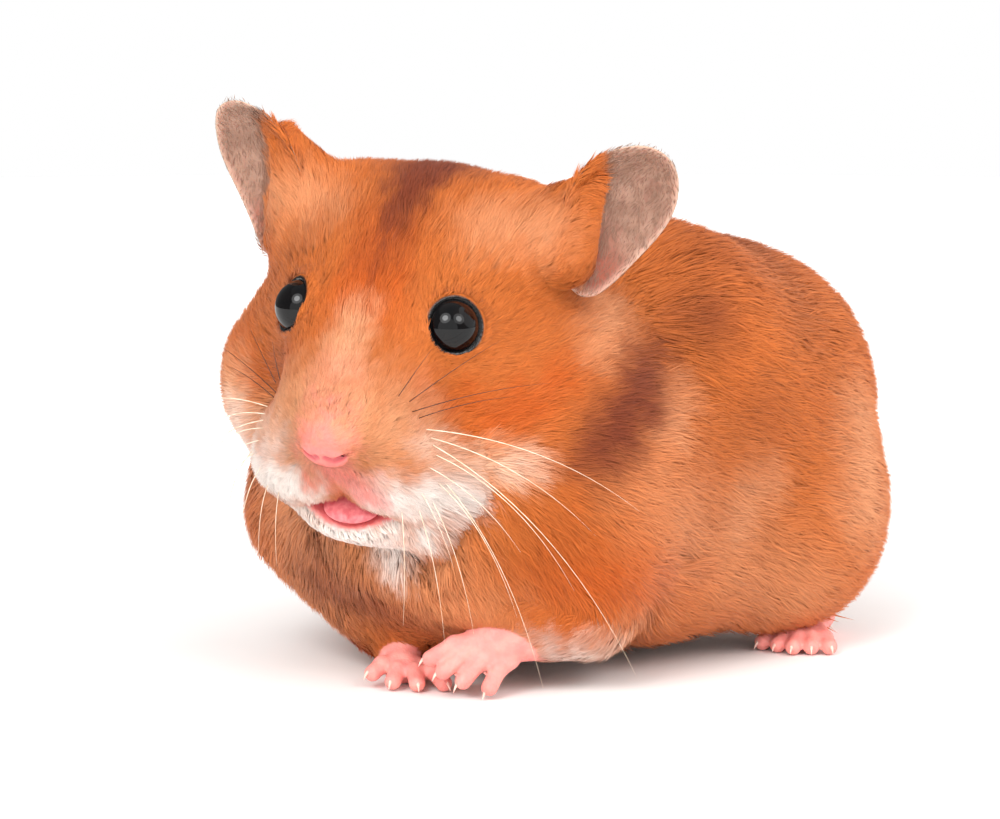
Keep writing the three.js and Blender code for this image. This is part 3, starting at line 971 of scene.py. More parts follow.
# ---- node expressions
class Wire:
    """A socket that takes part in arithmetic. Each operation adds its Math node."""

    def __init__(self, sheet: "Sheet", socket: bpy.types.NodeSocket) -> None:
        """Wraps a socket of a sheet's tree."""
        self.sheet = sheet
        self.socket = socket

    def _math(self, operation: str, *values: "Wire | float") -> "Wire":
        """A Math node's result."""
        return self.sheet.add("ShaderNodeMath", {"operation": operation}, dict(enumerate(values)))

    def __add__(self, other: "Wire | float") -> "Wire":
        """self + other."""
        return self._math("ADD", self, other)

    __radd__ = __add__

    def __sub__(self, other: "Wire | float") -> "Wire":
        """self - other."""
        return self._math("SUBTRACT", self, other)

    def __rsub__(self, other: float) -> "Wire":
        """other - self."""
        return self._math("SUBTRACT", other, self)

    def __mul__(self, other: "Wire | float") -> "Wire":
        """self * other."""
        return self._math("MULTIPLY", self, other)

    __rmul__ = __mul__

    def ramp(self, start: float, end: float) -> "Wire":
        """A smooth step from 0 at start to 1 at end."""
        return self.sheet.add("ShaderNodeMapRange", {"interpolation_type": "SMOOTHSTEP"},
                              {"Value": self, "From Min": start, "From Max": end})


Colour = tuple[float, float, float]


def linear(red: int, green: int, blue: int) -> Colour:
    """A colour given as it looks on a screen, as linear light.

    Args:
        red: from 0 to 255.
        green: from 0 to 255.
        blue: from 0 to 255.

    Returns:
        The three shares of light.
    """
    shares = [value / 255 for value in (red, green, blue)]
    return tuple(s / 12.92 if s <= 0.04045 else ((s + 0.055) / 1.055) ** 2.4 for s in shares)


class Sheet:
    """A material's node tree with one Principled shader."""

    def __init__(self, name: str) -> None:
        """Makes the material and empties its tree."""
        self.material = bpy.data.materials.new(name)
        self.material.use_nodes = True
        self.tree = self.material.node_tree
        self.tree.nodes.clear()
        self.shader = self.tree.nodes.new("ShaderNodeBsdfPrincipled")
        output = self.tree.nodes.new("ShaderNodeOutputMaterial")
        self.tree.links.new(self.shader.outputs[0], output.inputs["Surface"])

    def add(self, kind: str, settings: dict[str, object], inputs: dict[str | int, object],
            output: int | str = 0) -> Wire:
        """A node with its settings, then its values and links.

        Args:
            kind: the node's type.
            settings: its properties.
            inputs: a value or a Wire for each socket named or numbered.
            output: the socket to return.

        Returns:
            The chosen output.
        """
        node = self.tree.nodes.new(kind)
        for name, value in settings.items():
            setattr(node, name, value)
        for name, value in inputs.items():
            self.put(node.inputs[name], value)
        return Wire(self, node.outputs[output])

    def put(self, socket: bpy.types.NodeSocket, value: object) -> None:
        """Links a Wire to a socket, or sets the socket's own value."""
        if isinstance(value, Wire):
            self.tree.links.new(value.socket, socket)
        elif isinstance(value, tuple) and len(socket.default_value) == 4:
            socket.default_value = (*value, 1)
        else:
            socket.default_value = value

    def mix(self, share: Wire | float, first: Wire | Colour, second: Wire | Colour) -> Wire:
        """A colour between two."""
        return self.add("ShaderNodeMix", {"data_type": "RGBA"},
                        {0: share, 6: first, 7: second}, 2)

    def scaled(self, colour: Wire, factor: Wire | float) -> Wire:
        """A colour made brighter or darker."""
        return self.add("ShaderNodeVectorMath", {"operation": "SCALE"},
                        {0: colour, "Scale": factor})

    def attribute(self, name: str) -> list[Wire]:
        """The three numbers of a vertex attribute.

        Args:
            name: the attribute's name.

        Returns:
            A Wire for each number.
        """
        read = self.add("ShaderNodeAttribute", {"attribute_name": name}, {}, "Vector")
        node = self.add("ShaderNodeSeparateXYZ", {}, {0: read}).socket.node
        return [Wire(self, socket) for socket in node.outputs]

    def place(self) -> Wire:
        """The place on the piece, in metres."""
        return self.add("ShaderNodeTexCoord", {}, {}, "Object")

    def noise(self, size: float, detail: float = 3, stretch: Colour = (1, 1, 1)) -> Wire:
        """Noise from 0 to 1.

        Args:
            size: the features' size in millimetres.
            detail: how much finer noise it has.
            stretch: how much finer it is along x, y and z.

        Returns:
            The noise.
        """
        place = self.add("ShaderNodeVectorMath", {"operation": "MULTIPLY"},
                         {0: self.place(), 1: stretch})
        return self.add("ShaderNodeTexNoise", {},
                        {"Vector": place, "Scale": 1 / (size * MM), "Detail": detail})

    def bump(self, height: Wire, depth: float) -> Wire:
        """A normal from a height in shares of a depth in millimetres."""
        return self.add("ShaderNodeBump", {}, {"Height": height, "Distance": depth * MM,
                                               "Strength": 1.0})

    def finish(self, inputs: dict[str, object]) -> bpy.types.Material:
        """Sets the shader's sockets and returns the material."""
        for name, value in inputs.items():
            self.put(self.shader.inputs[name], value)
        return self.material


# ---- finishes
@dataclass(frozen=True)
class Pelage:
    """The coat's colours, which the skin under it shares."""

    ginger: Colour = linear(200, 106, 43)
    amber: Colour = linear(200, 90, 22)
    russet: Colour = linear(130, 57, 29)
    beige: Colour = linear(240, 180, 136)
    white: Colour = linear(248, 236, 228)
    blush: Colour = linear(248, 140, 128)
    rose: Colour = linear(241, 124, 118)
    palm: Colour = linear(247, 160, 149)
    knuckle: Colour = linear(238, 140, 132)
    down: Colour = linear(152, 114, 95)
    lid: Colour = linear(6, 5, 5)
    gum: Colour = linear(204, 92, 96)

    def fur(self, sheet: Sheet, marks: list[Wire]) -> Wire:
        """The coat's colour from its markings, without the bare skin.

        Args:
            sheet: the material it is for.
            marks: the six markings.

        Returns:
            The colour.
        """
        dark, pale, white, amber, blush, _ = marks
        mottle = sheet.noise(7, 2)
        colour = sheet.mix(amber + (mottle - 0.5) * 0.5, self.ginger, self.amber)
        colour = sheet.mix(pale, colour, self.beige)
        colour = sheet.mix(dark, colour, self.russet)
        colour = sheet.mix(white, colour, self.white)
        return sheet.mix(blush * 0.92, colour, self.blush)


def marks_in(sheet: Sheet) -> list[Wire]:
    """The six markings as a material reads them."""
    return sheet.attribute("marks_dark_pale_white") + sheet.attribute("marks_amber_blush_bare")


@dataclass(frozen=True)
class CoatFinish:
    """Hair: darker at its root, each tuft a little different."""

    pelage: Pelage = field(default_factory=Pelage)
    root_shade: float = 0.86
    tip_shade: float = 1.08
    variety: float = 0.3

    def material(self) -> bpy.types.Material:
        """Makes the coat's material.

        Returns:
            The material.
        """
        sheet = Sheet("short_dense_fur")
        along, chance, downy = sheet.attribute("along_chance_downy")
        colour = self.pelage.fur(sheet, marks_in(sheet))
        colour = sheet.mix(downy, colour, self.pelage.down)
        shade = along.ramp(0, 1) * (self.tip_shade - self.root_shade) + self.root_shade
        shade = shade * (1 + (chance - 0.5) * self.variety)
        roughness = 0.5 + chance * 0.2
        return sheet.finish({
            "Base Color": sheet.scaled(colour, shade), "Roughness": roughness,
            "Specular IOR Level": 0.25, "Sheen Weight": 0.05, "Sheen Roughness": 0.5})


@dataclass(frozen=True)
class SkinFinish:
    """Skin: bare and pink on the nose, lips and paws, tinted like the coat elsewhere."""

    pelage: Pelage = field(default_factory=Pelage)

    def material(self) -> bpy.types.Material:
        """Makes the skin's material.

        Returns:
            The material.
        """
        sheet = Sheet("living_skin")
        marks = marks_in(sheet)
        lid, gum, crease = sheet.attribute("lid_gum_crease")
        under = sheet.scaled(self.pelage.fur(sheet, marks), 0.88)
        blotch = sheet.noise(1.6, 3)
        pink = sheet.mix(blotch.ramp(0.25, 0.75), self.pelage.rose, self.pelage.blush)
        palm = sheet.mix(blotch.ramp(0.25, 0.75), self.pelage.knuckle, self.pelage.palm)
        pink = sheet.mix(sheet.attribute("paw")[0], pink, palm)
        pink = sheet.mix(crease, pink, self.pelage.gum)
        bare = sheet.mix(gum, pink, self.pelage.gum)
        bare = sheet.mix(lid, bare, self.pelage.lid)
        grain = sheet.noise(0.28, 2) * 0.6 + sheet.noise(0.8, 2)
        return sheet.finish({
            "Base Color": sheet.mix(marks[Mark.BARE.value], under, bare),
            "Roughness": 0.48 - 0.12 * gum - 0.3 * lid + 0.1 * blotch,
            "Normal": sheet.bump(grain, 0.09), "Specular IOR Level": 0.4,
            "Subsurface Weight": 0.25, "Subsurface Radius": (1.0, 0.35, 0.2),
            "Subsurface Scale": 0.8 * MM})


@dataclass(frozen=True)
class EyeFinish:
    """A wet black eye with a trace of brown in its depth."""

    black: Colour = linear(5, 5, 7)
    brown: Colour = linear(15, 11, 11)

    def material(self) -> bpy.types.Material:
        """Makes the eyes' material.

        Returns:
            The material.
        """
        sheet = Sheet("wet_black_eye")
        depth = sheet.noise(2.4, 2)
        colour = sheet.mix(depth.ramp(0.35, 0.75), self.black, self.brown)
        return sheet.finish({"Base Color": colour, "Roughness": 0.03 + depth * 0.02,
                             "IOR": 1.42, "Specular IOR Level": 0.5})


@dataclass(frozen=True)
class EarFinish:
    """Thin grey-brown ear skin with painted rim light at its rim, and a root redder and in painted
    shade.
    """

    dark: Colour = linear(152, 114, 95)
    light: Colour = linear(178, 138, 118)
    # deep is partly the root's redder skin and partly painted shade; rim is painted rim light.
    deep: Colour = linear(158, 84, 64)
    rim: Colour = linear(232, 196, 176)
    vein: Colour = linear(150, 84, 72)

    def material(self) -> bpy.types.Material:
        """Makes the ears' material.

        Returns:
            The material.
        """
        sheet = Sheet("ear_skin")
        rim, root, inner = sheet.attribute("rim_root_inner")
        blotch = sheet.noise(3.2, 4)
        colour = sheet.mix(blotch.ramp(0.3, 0.7), self.dark, self.light)
        # The root of the inner face: partly the ear's redder skin, partly painted shade in its
        # hollow.
        colour = sheet.mix(root * inner, colour, self.deep)
        # Painted rim light: the pale rim colour stands for light from behind along the margin.
        colour = sheet.mix(rim * 0.6, colour, self.rim)
        veins = sheet.noise(1.1, 5, (1, 1, 0.4))
        colour = sheet.mix(veins.ramp(0.56, 0.64) * inner * 0.22, colour, self.vein)
        return sheet.finish({
            "Base Color": colour, "Roughness": 0.52 + 0.12 * blotch,
            "Normal": sheet.bump(sheet.noise(0.35, 3) + veins, 0.06),
            "Subsurface Weight": 0.3, "Subsurface Radius": (1.0, 0.4, 0.25),
            "Subsurface Scale": 0.7 * MM, "Specular IOR Level": 0.35})


@dataclass(frozen=True)
class PlainFinish:
    """A finish of two close colours in fine noise, for small parts."""

    name: str
    light: Colour
    dark: Colour
    grain: float
    roughness: float
    wet: float = 0.0

    def material(self) -> bpy.types.Material:
        """Makes the material.

        Returns:
            The material.
        """
        sheet = Sheet(self.name)
        mottle = sheet.noise(self.grain, 3)
        return sheet.finish({
            "Base Color": sheet.mix(mottle.ramp(0.3, 0.7), self.dark, self.light),
            "Roughness": self.roughness + 0.08 * mottle, "Coat Weight": self.wet,
            "Normal": sheet.bump(mottle, 0.05)})


# ---- the skin
@dataclass
class Skin:
    """One skin over the whole animal, apart from the ear shells."""

    anatomy: Anatomy
    placement: Placement
    cell: float = 0.62
    low: Triple = (-35, -48, -1)
    high: Triple = (35, 61, 72)
    nodes: tuple[str, ...] = (
        "head", "neck", "chest", "trunk", "tail", "foreleg_left", "foreleg_right",
        "hindleg_left", "hindleg_right", "forepaw_left", "forepaw_right", "hindfoot_left",
        "hindfoot_right")

    def detail_wanted(self, points: Points) -> np.ndarray:
        """How many times the mesh is to be halved at each point.

        Args:
            points: the middles of its faces.

        Returns:
            0, 1 or 2 for each point.
        """
        inside = self.anatomy.in_head(points)
        face = length_of(inside - column((0, -15, -12))) < 9
        eyes = length_of(self.anatomy.in_eye(points)) < 5.4
        paws = self.anatomy.paws()(points) < 0.6
        return (face | eyes).astype(int) + (face | eyes | paws).astype(int)

    def build(self) -> bpy.types.Object:
        """Makes the skin's mesh.

        Returns:
            The skin.
        """
        form = self.anatomy.skin()
        points, quads = Net(self.low, self.high, self.cell).mesh(form)
        points = settled(form, points)
        edit = bmesh.new()
        draft = mesh_of("draft", points.T, quads)
        edit.from_mesh(draft)
        bpy.data.meshes.remove(draft)
        for level in (1, 2):
            middles = np.array([face.calc_center_median() for face in edit.faces], np.float32).T
            wanted = self.detail_wanted(middles) >= level
            edges = {edge for face, take in zip(list(edit.faces), wanted) if take
                     for edge in face.edges}
            bmesh.ops.subdivide_edges(edit, edges=list(edges), cuts=1, use_grid_fill=True)
        bmesh.ops.triangulate(edit, faces=[f for f in edit.faces if len(f.verts) > 4])
        points = np.array([vertex.co for vertex in edit.verts], np.float32).T
        points = settled(form, points)
        points[2] = np.maximum(points[2], 0.02)
        for vertex, place in zip(edit.verts, self.placement.metres(points)):
            vertex.co = place
        mesh = finished(edit, "skin")
        write_markings(mesh, Markings(self.anatomy).read(points))
        write_vectors(mesh, "lid_gum_crease", self.tones(points))
        paw = ramp(self.anatomy.paws()(points), 3, 1)
        write_vectors(mesh, "paw", np.stack([paw, paw, paw], 1))
        skin = object_of(mesh, SkinFinish().material(), "bare_skin")
        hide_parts(*self.nodes)
        return skin

    def tones(self, points: Points) -> np.ndarray:
        """The lids' black, the mouth's red and the nostrils' creases.

        Args:
            points: where to read them.

        Returns:
            Three shares from 0 to 1 to a row, one row to a point.
        """
        anatomy = self.anatomy
        lid = ramp(length_of(anatomy.in_eye(points)), 4.4, 4.05)
        gum = ramp(anatomy.mouth_form()(points), 0.35, -0.1)
        crease = ramp(anatomy.nose_cuts()(anatomy.in_head(points)), 0.35, 0.0)
        return np.stack([lid, gum, crease], 1)


# ---- the coat
def turned_toward(flow: Points, toward: Points, share: np.ndarray) -> Points:
    """Directions turned towards others by a share."""
    return flow * (1 - share) + toward * share


@dataclass(frozen=True)
class Lie:
    """The way the coat lies, how thick it grows, and its hairs' length in millimetres."""

    anatomy: Anatomy
    on_trunk: float = 7.0
    on_cheeks: float = 3.8
    on_crown: float = 4.6
    on_breast: float = 4.6
    on_ear_tufts: float = 3.0
    on_ear_hems: float = 2.2
    on_muzzle: float = 1.7
    round_eyes: float = 1.5
    on_chin: float = 1.4
    on_nose: float = 0.8
    on_wrists: float = 2.2
    on_tail: float = 1.8

    def heading(self, points: Points, normals: Points) -> Points:
        """The direction along the skin in which each hair lies.

        Args:
            points: the hairs' roots.
            normals: the skin's normals there.

        Returns:
            A direction of length 1 for each root.
        """
        anatomy = self.anatomy
        inside = anatomy.in_head(points)
        head = anatomy.head[:3, :3].astype(np.float32) @ self.over_head(inside)
        on_head = nearness(inside, (0, 6, -6), 30, 20)
        flow = head * on_head + unit(self.over_trunk(points)) * (1 - on_head)
        for paw in anatomy.forepaws:
            toward = unit(column(paw.ball) - column(paw.wrist)) + column((0, 0, -0.3))
            flow = turned_toward(flow, toward, nearness(points, paw.wrist, 14, 5))
        flow = flow - normals * (flow * normals).sum(0)
        return unit(flow)

    def over_head(self, inside: Points) -> Points:
        """The way that hair lies on the head: back from the nose, and round the eyes and ears.

        Args:
            inside: points in the head's frame.

        Returns:
            A direction in that frame for each point.
        """
        flow = unit(inside - column((0, -21, -9)))
        flow += column((0, 0.25, 0.1))
        for side in (1, -1):
            offset = inside - column(sided(self.anatomy.eye, side))
            near = np.exp(-((length_of(offset) / 5.5) ** 2))
            flow = flow + 1.3 * near * unit(offset)
        for ear in self.anatomy.ears:
            foot, tip = ear.tuft_ends()
            on_tuft = ramp(ear.tuft_form()(inside), 2.5, 0) * nearness(inside, tip, 11, 6)
            toward = unit(column(tip) - column(foot)) + column((0, 0.2, 0.5))
            flow = turned_toward(flow, 1.5 * toward, on_tuft)
            toward = unit(column(sided(np.subtract(ear.hem[1], ear.hem[0]), ear.side)))
            toward = toward + column((0.8 * ear.side, 0.5, 0))
            flow = turned_toward(flow, 1.5 * toward, ramp(ear.hem_form()(inside), 3, 0))
        flow[2] -= 0.5 * ramp(inside[2], -10, -18)
        return flow

    def over_trunk(self, points: Points) -> Points:
        """The way that hair lies on the trunk: back and down, and straight down the chest.

        Args:
            points: the hairs' roots.

        Returns:
            A direction for each point.
        """
        flank, ones = np.abs(points[0]) / 30, np.ones_like(points[0])
        back = np.stack([0.12 * np.sign(points[0]) * flank, ones, -0.45 * flank])
        down = np.stack([0.5 * points[0] / 20, 0.15 * ones, -ones])
        return turned_toward(back, down, ramp(points[1], -6, -24) * ramp(points[2], 34, 20))

    def hair_length(self, points: Points) -> np.ndarray:
        """The length of the hairs in millimetres.

        Args:
            points: the hairs' roots.

        Returns:
            One length for each root.
        """
        inside = self.anatomy.in_head(points)
        anatomy = self.anatomy
        on_head = nearness(inside, anatomy.face_middle, 34, 20)
        head = lerp(self.on_cheeks, self.on_crown, ramp(inside[2], -2, 9))
        return layered(
            lerp(self.on_trunk, head, on_head),
            (self.on_breast, nearness(points, anatomy.breast, 20, 10) * (1 - on_head)),
            *((self.on_ear_tufts, nearness(inside, ear.tuft_ends()[1], 8, 3))
              for ear in anatomy.ears),
            (self.on_ear_hems, ramp(anatomy.hem_distance(inside), 4, 1)),
            (self.on_muzzle, nearness(inside, (0, -15, -10), 17, 6)),
            (self.round_eyes, ramp(length_of(anatomy.in_eye(points)), 9, 4.5)),
            (self.on_chin, nearness(inside, anatomy.chin_front, 11, 6)),
            (self.on_nose, nearness(inside, anatomy.nose, 6, 3)),
            (self.on_wrists, ramp(anatomy.forepaw_distance(points), 9, 1)),
            (self.on_tail, ramp(round_cone(*anatomy.tail)(points), 3, 0)))

    def thickness(self, points: Points, bare: np.ndarray) -> np.ndarray:
        """How many hairs grow, as a share of the most."""
        return np.clip(1 - bare, 0, 1) * np.where(points[2] < 0.4, 0.3, 1)


@dataclass(frozen=True)
class CoatArea:
    """A part of the coat: the skin nearest its middle, and how its tufts are made."""

    name: str
    middle: Triple
    tufts: int
    width: float
    on_head: bool = False
    reach: float = 1.0


COAT_AREAS = (
    CoatArea("coat_muzzle", (0, -13, -11), 88000, 0.12, True, 0.62),
    CoatArea("coat_cheek_left", (19, 2, -10), 86000, 0.17, True),
    CoatArea("coat_cheek_right", (-19, 2, -10), 66000, 0.18, True),
    CoatArea("coat_crown", (0, 10, 8), 82000, 0.17, True),
    CoatArea("coat_nape", (0, 2, 52), 44000, 0.25),
    CoatArea("coat_shoulder_left", (30, -6, 24), 64000, 0.25),
    CoatArea("coat_shoulder_right", (-30, -6, 24), 48000, 0.27),
    CoatArea("coat_chest", (3, -26, 14), 54000, 0.28),
    CoatArea("coat_back", (0, 26, 50), 48000, 0.28),
    CoatArea("coat_flank_left", (28, 28, 24), 54000, 0.28),
    CoatArea("coat_flank_right", (-28, 28, 24), 42000, 0.3),
    CoatArea("coat_rump", (0, 50, 28), 32000, 0.3),
    CoatArea("coat_belly", (0, 15, 2), 12000, 0.36),
)
EAR_AREAS = (
    CoatArea("coat_ear_left", (0, 0, 0), 14000, 0.16),
    CoatArea("coat_ear_right", (0, 0, 0), 14000, 0.16),
)


@dataclass(frozen=True)
class Roots:
    """Where tufts leave the skin, how each lies and where it is on the unwrapped skin."""

    points: Points
    normals: Points
    spots: np.ndarray
    heading: Points
    length: np.ndarray
    depth: np.ndarray
    downy: np.ndarray


@dataclass(frozen=True)
class Ground:
    """A triangulated surface that tufts grow from."""

    points: Points
    normals: Points
    triangles: np.ndarray

    @classmethod
    def of(cls, piece: bpy.types.Object, placement: Placement) -> "Ground":
        """The surface of a piece, back in millimetres.

        Args:
            piece: a piece of the model.
            placement: where the working frame lies.

        Returns:
            Its points, normals and triangles.
        """
        mesh = piece.data
        rows = np.empty(len(mesh.vertices) * 3, np.float32)
        mesh.vertices.foreach_get("co", rows)
        points = rows.reshape(-1, 3).T / MM - placement.shift
        mesh.vertices.foreach_get("normal", rows)
        mesh.calc_loop_triangles()
        corners = np.empty(len(mesh.loop_triangles) * 3, np.int32)
        mesh.loop_triangles.foreach_get("vertices", corners)
        return cls(points.astype(np.float32), rows.reshape(-1, 3).T.copy(),
                   corners.reshape(-1, 3))

    def middles(self) -> Points:
        """The middle of each triangle."""
        return self.points[:, self.triangles].mean(2)

    def sizes(self) -> np.ndarray:
        """The area of each triangle."""
        first, second, third = (self.points[:, self.triangles[:, i]] for i in range(3))
        return length_of(np.cross(second - first, third - first, axis=0)) / 2

    def unwrapped(self, triangles: np.ndarray) -> np.ndarray:
        """Where each corner of some triangles lies on a flat unwrap of them.

        Args:
            triangles: vertex numbers, three to a row.

        Returns:
            For each triangle, three places from 0 to 1 across and up.
        """
        used, corners = np.unique(triangles, return_inverse=True)
        mesh = mesh_of("unwrap", self.points[:, used].T, corners.reshape(-1, 3))
        piece = object_of(mesh)
        bpy.context.view_layer.objects.active = piece
        piece.select_set(True)
        bpy.ops.object.mode_set(mode="EDIT")
        bpy.ops.mesh.select_all(action="SELECT")
        bpy.ops.uv.smart_project(angle_limit=math.radians(72), island_margin=0.004)
        bpy.ops.object.mode_set(mode="OBJECT")
        spots = np.empty(triangles.size * 2, np.float32)
        mesh.uv_layers.active.uv.foreach_get("vector", spots)
        bpy.data.objects.remove(piece)
        bpy.data.meshes.remove(mesh)
        spots = spots.reshape(-1, 3, 2)
        low, high = spots.min((0, 1)), spots.max((0, 1))
        return (spots - low) / (high - low)

    def scattered(self, count: int, chosen: np.ndarray, weights: np.ndarray,
                  rng: np.random.Generator) -> tuple[Points, Points, np.ndarray]:
        """Evenly scattered places on some of the triangles.

        Args:
            count: how many places.
            chosen: the numbers of the triangles.
            weights: each one's share of the places.
            rng: for the draws.

        Returns:
            The places, the surface's normals there and their spots on the unwrap.
        """
        totals = np.cumsum(weights)
        draws = (np.arange(count) + rng.random(count)) / count * totals[-1]
        picks = np.minimum(np.searchsorted(totals, draws), len(chosen) - 1)
        shares = rng.random((2, count)).astype(np.float32)
        root = np.sqrt(shares[0])
        mixes = np.stack([1 - root, root * (1 - shares[1]), root * shares[1]])
        corners = self.triangles[chosen][picks]
        points = sum(self.points[:, corners[:, i]] * mixes[i] for i in range(3))
        normals = sum(self.normals[:, corners[:, i]] * mixes[i] for i in range(3))
        flat = self.unwrapped(self.triangles[chosen])[picks]
        spots = sum(flat[:, i] * mixes[i][:, None] for i in range(3))
        return points.astype(np.float32), unit(normals), spots


@dataclass(frozen=True)
class Tufts:
    """Kites of two faces, each with its root, two sides and tip, and what each carries."""

    corners: list[Points]
    marks: np.ndarray
    chance: np.ndarray
    downy: np.ndarray
    spots: np.ndarray
    lean: Points
    floor_gap: float = 0.03
    patch: float = 0.003

    def mesh(self, name: str, placement: Placement, bend: float) -> bpy.types.Mesh:
        """Joins the tufts.

        Args:
            name: the mesh's name.
            placement: where the working frame lies.
            bend: how far along a tuft its sides stand.

        Returns:
            The mesh, with the UV map OFBake and the lie of each tuft as its normals.
        """
        size, number = len(self.corners), len(self.chance)
        rows = np.stack(self.corners, 2).reshape(3, -1)
        rows[2] = np.maximum(rows[2], self.floor_gap)
        pattern = np.array([(0, 1, 2), (2, 1, 3)])
        faces = (np.arange(number)[:, None, None] * size + pattern).reshape(-1, 3)
        mesh = mesh_of(name, placement.metres(rows), faces)
        write_markings(mesh, np.repeat(self.marks, size, axis=1))
        write_vectors(mesh, "along_chance_downy", np.stack([
            np.tile((0, bend, bend, 1), number), np.repeat(self.chance, size),
            np.repeat(self.downy, size)], 1))
        around = np.array([(0, -1), (-1, 0), (1, 0), (0, 1)]) * self.patch / 2
        flat = np.stack([np.clip(self.spots + corner, 0.0, 1.0) for corner in around], 1)
        layer = mesh.uv_layers.new(name="OFBake")
        flat = flat.reshape(-1, 2)[faces.ravel()]
        layer.uv.foreach_set("vector", flat.astype(np.float32).ravel())
        mesh.normals_split_custom_set_from_vertices(np.repeat(self.lean, size, 1).T)
        return mesh


@dataclass
class Coat:
    """All the tufts, as one joined mesh for each area."""

    anatomy: Anatomy
    placement: Placement
    bend: float = 0.45
    lock_size: float = 16
    lock_hold: float = 0.25
    ear_length: tuple[float, float] = (0.9, 2.2)
    ear_depth: tuple[float, float] = (0.18, 0.34)
    quick_share: float = 0.4

    def __post_init__(self) -> None:
        """Keeps the fields and the finish that every area uses."""
        self.outline = self.anatomy.outline()
        self.markings = Markings(self.anatomy)
        self.lie = Lie(self.anatomy)
        self.material = CoatFinish().material()

    def count(self, tufts: int) -> int:
        return int(tufts * (1))

    def cover_body(self, skin: bpy.types.Object) -> None:
        """Grows every area of the body's coat on the skin.

        Args:
            skin: the skin's piece.
        """
        ground = Ground.of(skin, self.placement)
        middles = ground.middles()
        inside = self.anatomy.in_head(middles)
        far = np.stack([length_of((inside if area.on_head else middles)
                                  - column(area.middle)) / area.reach for area in COAT_AREAS])
        nearest = far.argmin(0)
        sizes = ground.sizes() * self.lie.thickness(middles, self.markings.bare(middles))
        for number, area in enumerate(COAT_AREAS):
            rng = np.random.default_rng(100 + number)
            chosen = np.nonzero(nearest == number)[0]
            points, normals, spots = ground.scattered(
                self.count(area.tufts), chosen, sizes[chosen], rng)
            roots = Roots(points, normals, spots, self.lie.heading(points, normals),
                          self.lie.hair_length(points), self.anatomy.coat_depth(points),
                          np.zeros(points.shape[1]))
            self.grow(area.name, area.width, roots, rng, self.outline)

    def cover_ear(self, shell: bpy.types.Object, ear: Ear, area: CoatArea, seed: int) -> None:
        """Grows an ear's down, and the longer fur on its front edge and round its root.

        A pair of sizes is the down's and then the fur's.

        Args:
            shell: the ear's piece.
            ear: where it stands.
            area: the name, number and width of its tufts.
            seed: for the random draws.
        """
        rng = np.random.default_rng(seed)
        ground = Ground.of(shell, self.placement)
        matrix = self.anatomy.ear_frame(ear)
        seen = moved(ground.middles(), np.linalg.inv(matrix))
        furry = self.ear_fur(seen, ear.bare_from)
        chosen = np.arange(len(ground.triangles))
        points, normals, spots = ground.scattered(
            self.count(area.tufts), chosen, ground.sizes() * (0.16 + 2.2 * furry), rng)
        seen = moved(points, np.linalg.inv(matrix))
        furry = self.ear_fur(seen, ear.bare_from)
        along = unit(np.stack([-0.7 * seen[0], np.zeros(len(furry)), 15 - seen[2]]))
        heading = (matrix[:3, :3] @ along).astype(np.float32)
        heading = unit(heading - normals * (heading * normals).sum(0))
        roots = Roots(points, normals, spots, heading, lerp(*self.ear_length, furry),
                      lerp(*self.ear_depth, furry), 1 - ramp(furry, 0.05, 0.95))
        self.grow(area.name, area.width, roots, rng, None)

    @staticmethod
    def ear_fur(seen: Points, bare_from: float) -> np.ndarray:
        """How furry an ear is: its front edge and its root.

        Args:
            seen: points in the ear's own frame.
            bare_from: where across it the bare part begins.

        Returns:
            A share from 0 to 1 for each point.
        """
        edge = seen[0] + 0.35 * np.maximum(seen[2], -5) - bare_from + 0.5 * ripple(seen, 1.6, 77)
        front = ramp(edge, 2.6, -2.4) * ramp(seen[2], 9.5, 4)
        return np.maximum(front, 0.5 * ramp(seen[2] + 0.7 * seen[0], -9, -13))

    def leaders(self, points: Points, rng: np.random.Generator) -> np.ndarray:
        """Gathers roots into locks.

        Args:
            points: the roots.
            rng: for the random draws.

        Returns:
            For each root, the number of the root that its lock gathers round.
        """
        count = points.shape[1]
        heads = rng.choice(count, max(int(count / self.lock_size), 8), replace=False)
        tree = KDTree(len(heads))
        for head in heads:
            tree.insert(points[:, head].tolist(), int(head))
        tree.balance()
        return np.array([tree.find(point)[1] for point in points.T.tolist()])

    def grow(self, name: str, width: float, roots: Roots, rng: np.random.Generator,
             outline: Field | None) -> bpy.types.Object:
        """Makes one area's tufts.

        Args:
            name: the piece's name.
            width: the widest tuft's width at its root.
            roots: where its tufts grow.
            rng: for the random draws.
            outline: the surface that the tips keep under, where there is one.

        Returns:
            The area's piece.
        """
        points, normals = roots.points, roots.normals
        count = points.shape[1]
        leader = self.leaders(points, rng)
        sway = rng.normal(0, 0.2, count)[leader] + rng.normal(0, 0.1, count)
        sway += 0.22 * ripple(points, 5, 3)
        across = np.cross(normals, roots.heading, axis=0)
        flow = unit(roots.heading + across * sway)
        across = unit(np.cross(normals, flow, axis=0))
        length = roots.length * rng.uniform(0.75, 1.15, count)
        length = length * rng.uniform(0.9, 1.1, count)[leader]
        rise = 0.62 + 0.44 * rng.random(count)
        middle, tip = self.bent(roots, flow, length, rise, outline)
        middle = middle + (middle[:, leader] - middle) * self.lock_hold * self.bend ** 1.5
        tip = tip + (tip[:, leader] - tip) * self.lock_hold
        kept = self.clear(middle, tip)
        width = width * rng.uniform(0.6, 1.25, count) * np.clip(length / 4, 0.55, 1)
        roll = rng.normal(0, 0.4, count)
        side = unit(across + normals * roll) * width / 2
        chance = 0.65 * rng.random(count) + 0.35 * rng.random(count)[leader]
        marks = self.markings.read(points + (tip - points) * 0.6)
        lean = normals + 0.3 * flow + 0.13 * rng.normal(size=(3, count)) + across * roll * 0.2
        corners = [corner[:, kept] for corner in (points, middle - side, middle + side, tip)]
        tufts = Tufts(corners, marks[:, kept], chance[kept], roots.downy[kept],
                      roots.spots[kept], unit(lean)[:, kept])
        return object_of(tufts.mesh(name, self.placement, self.bend), self.material, "coat")

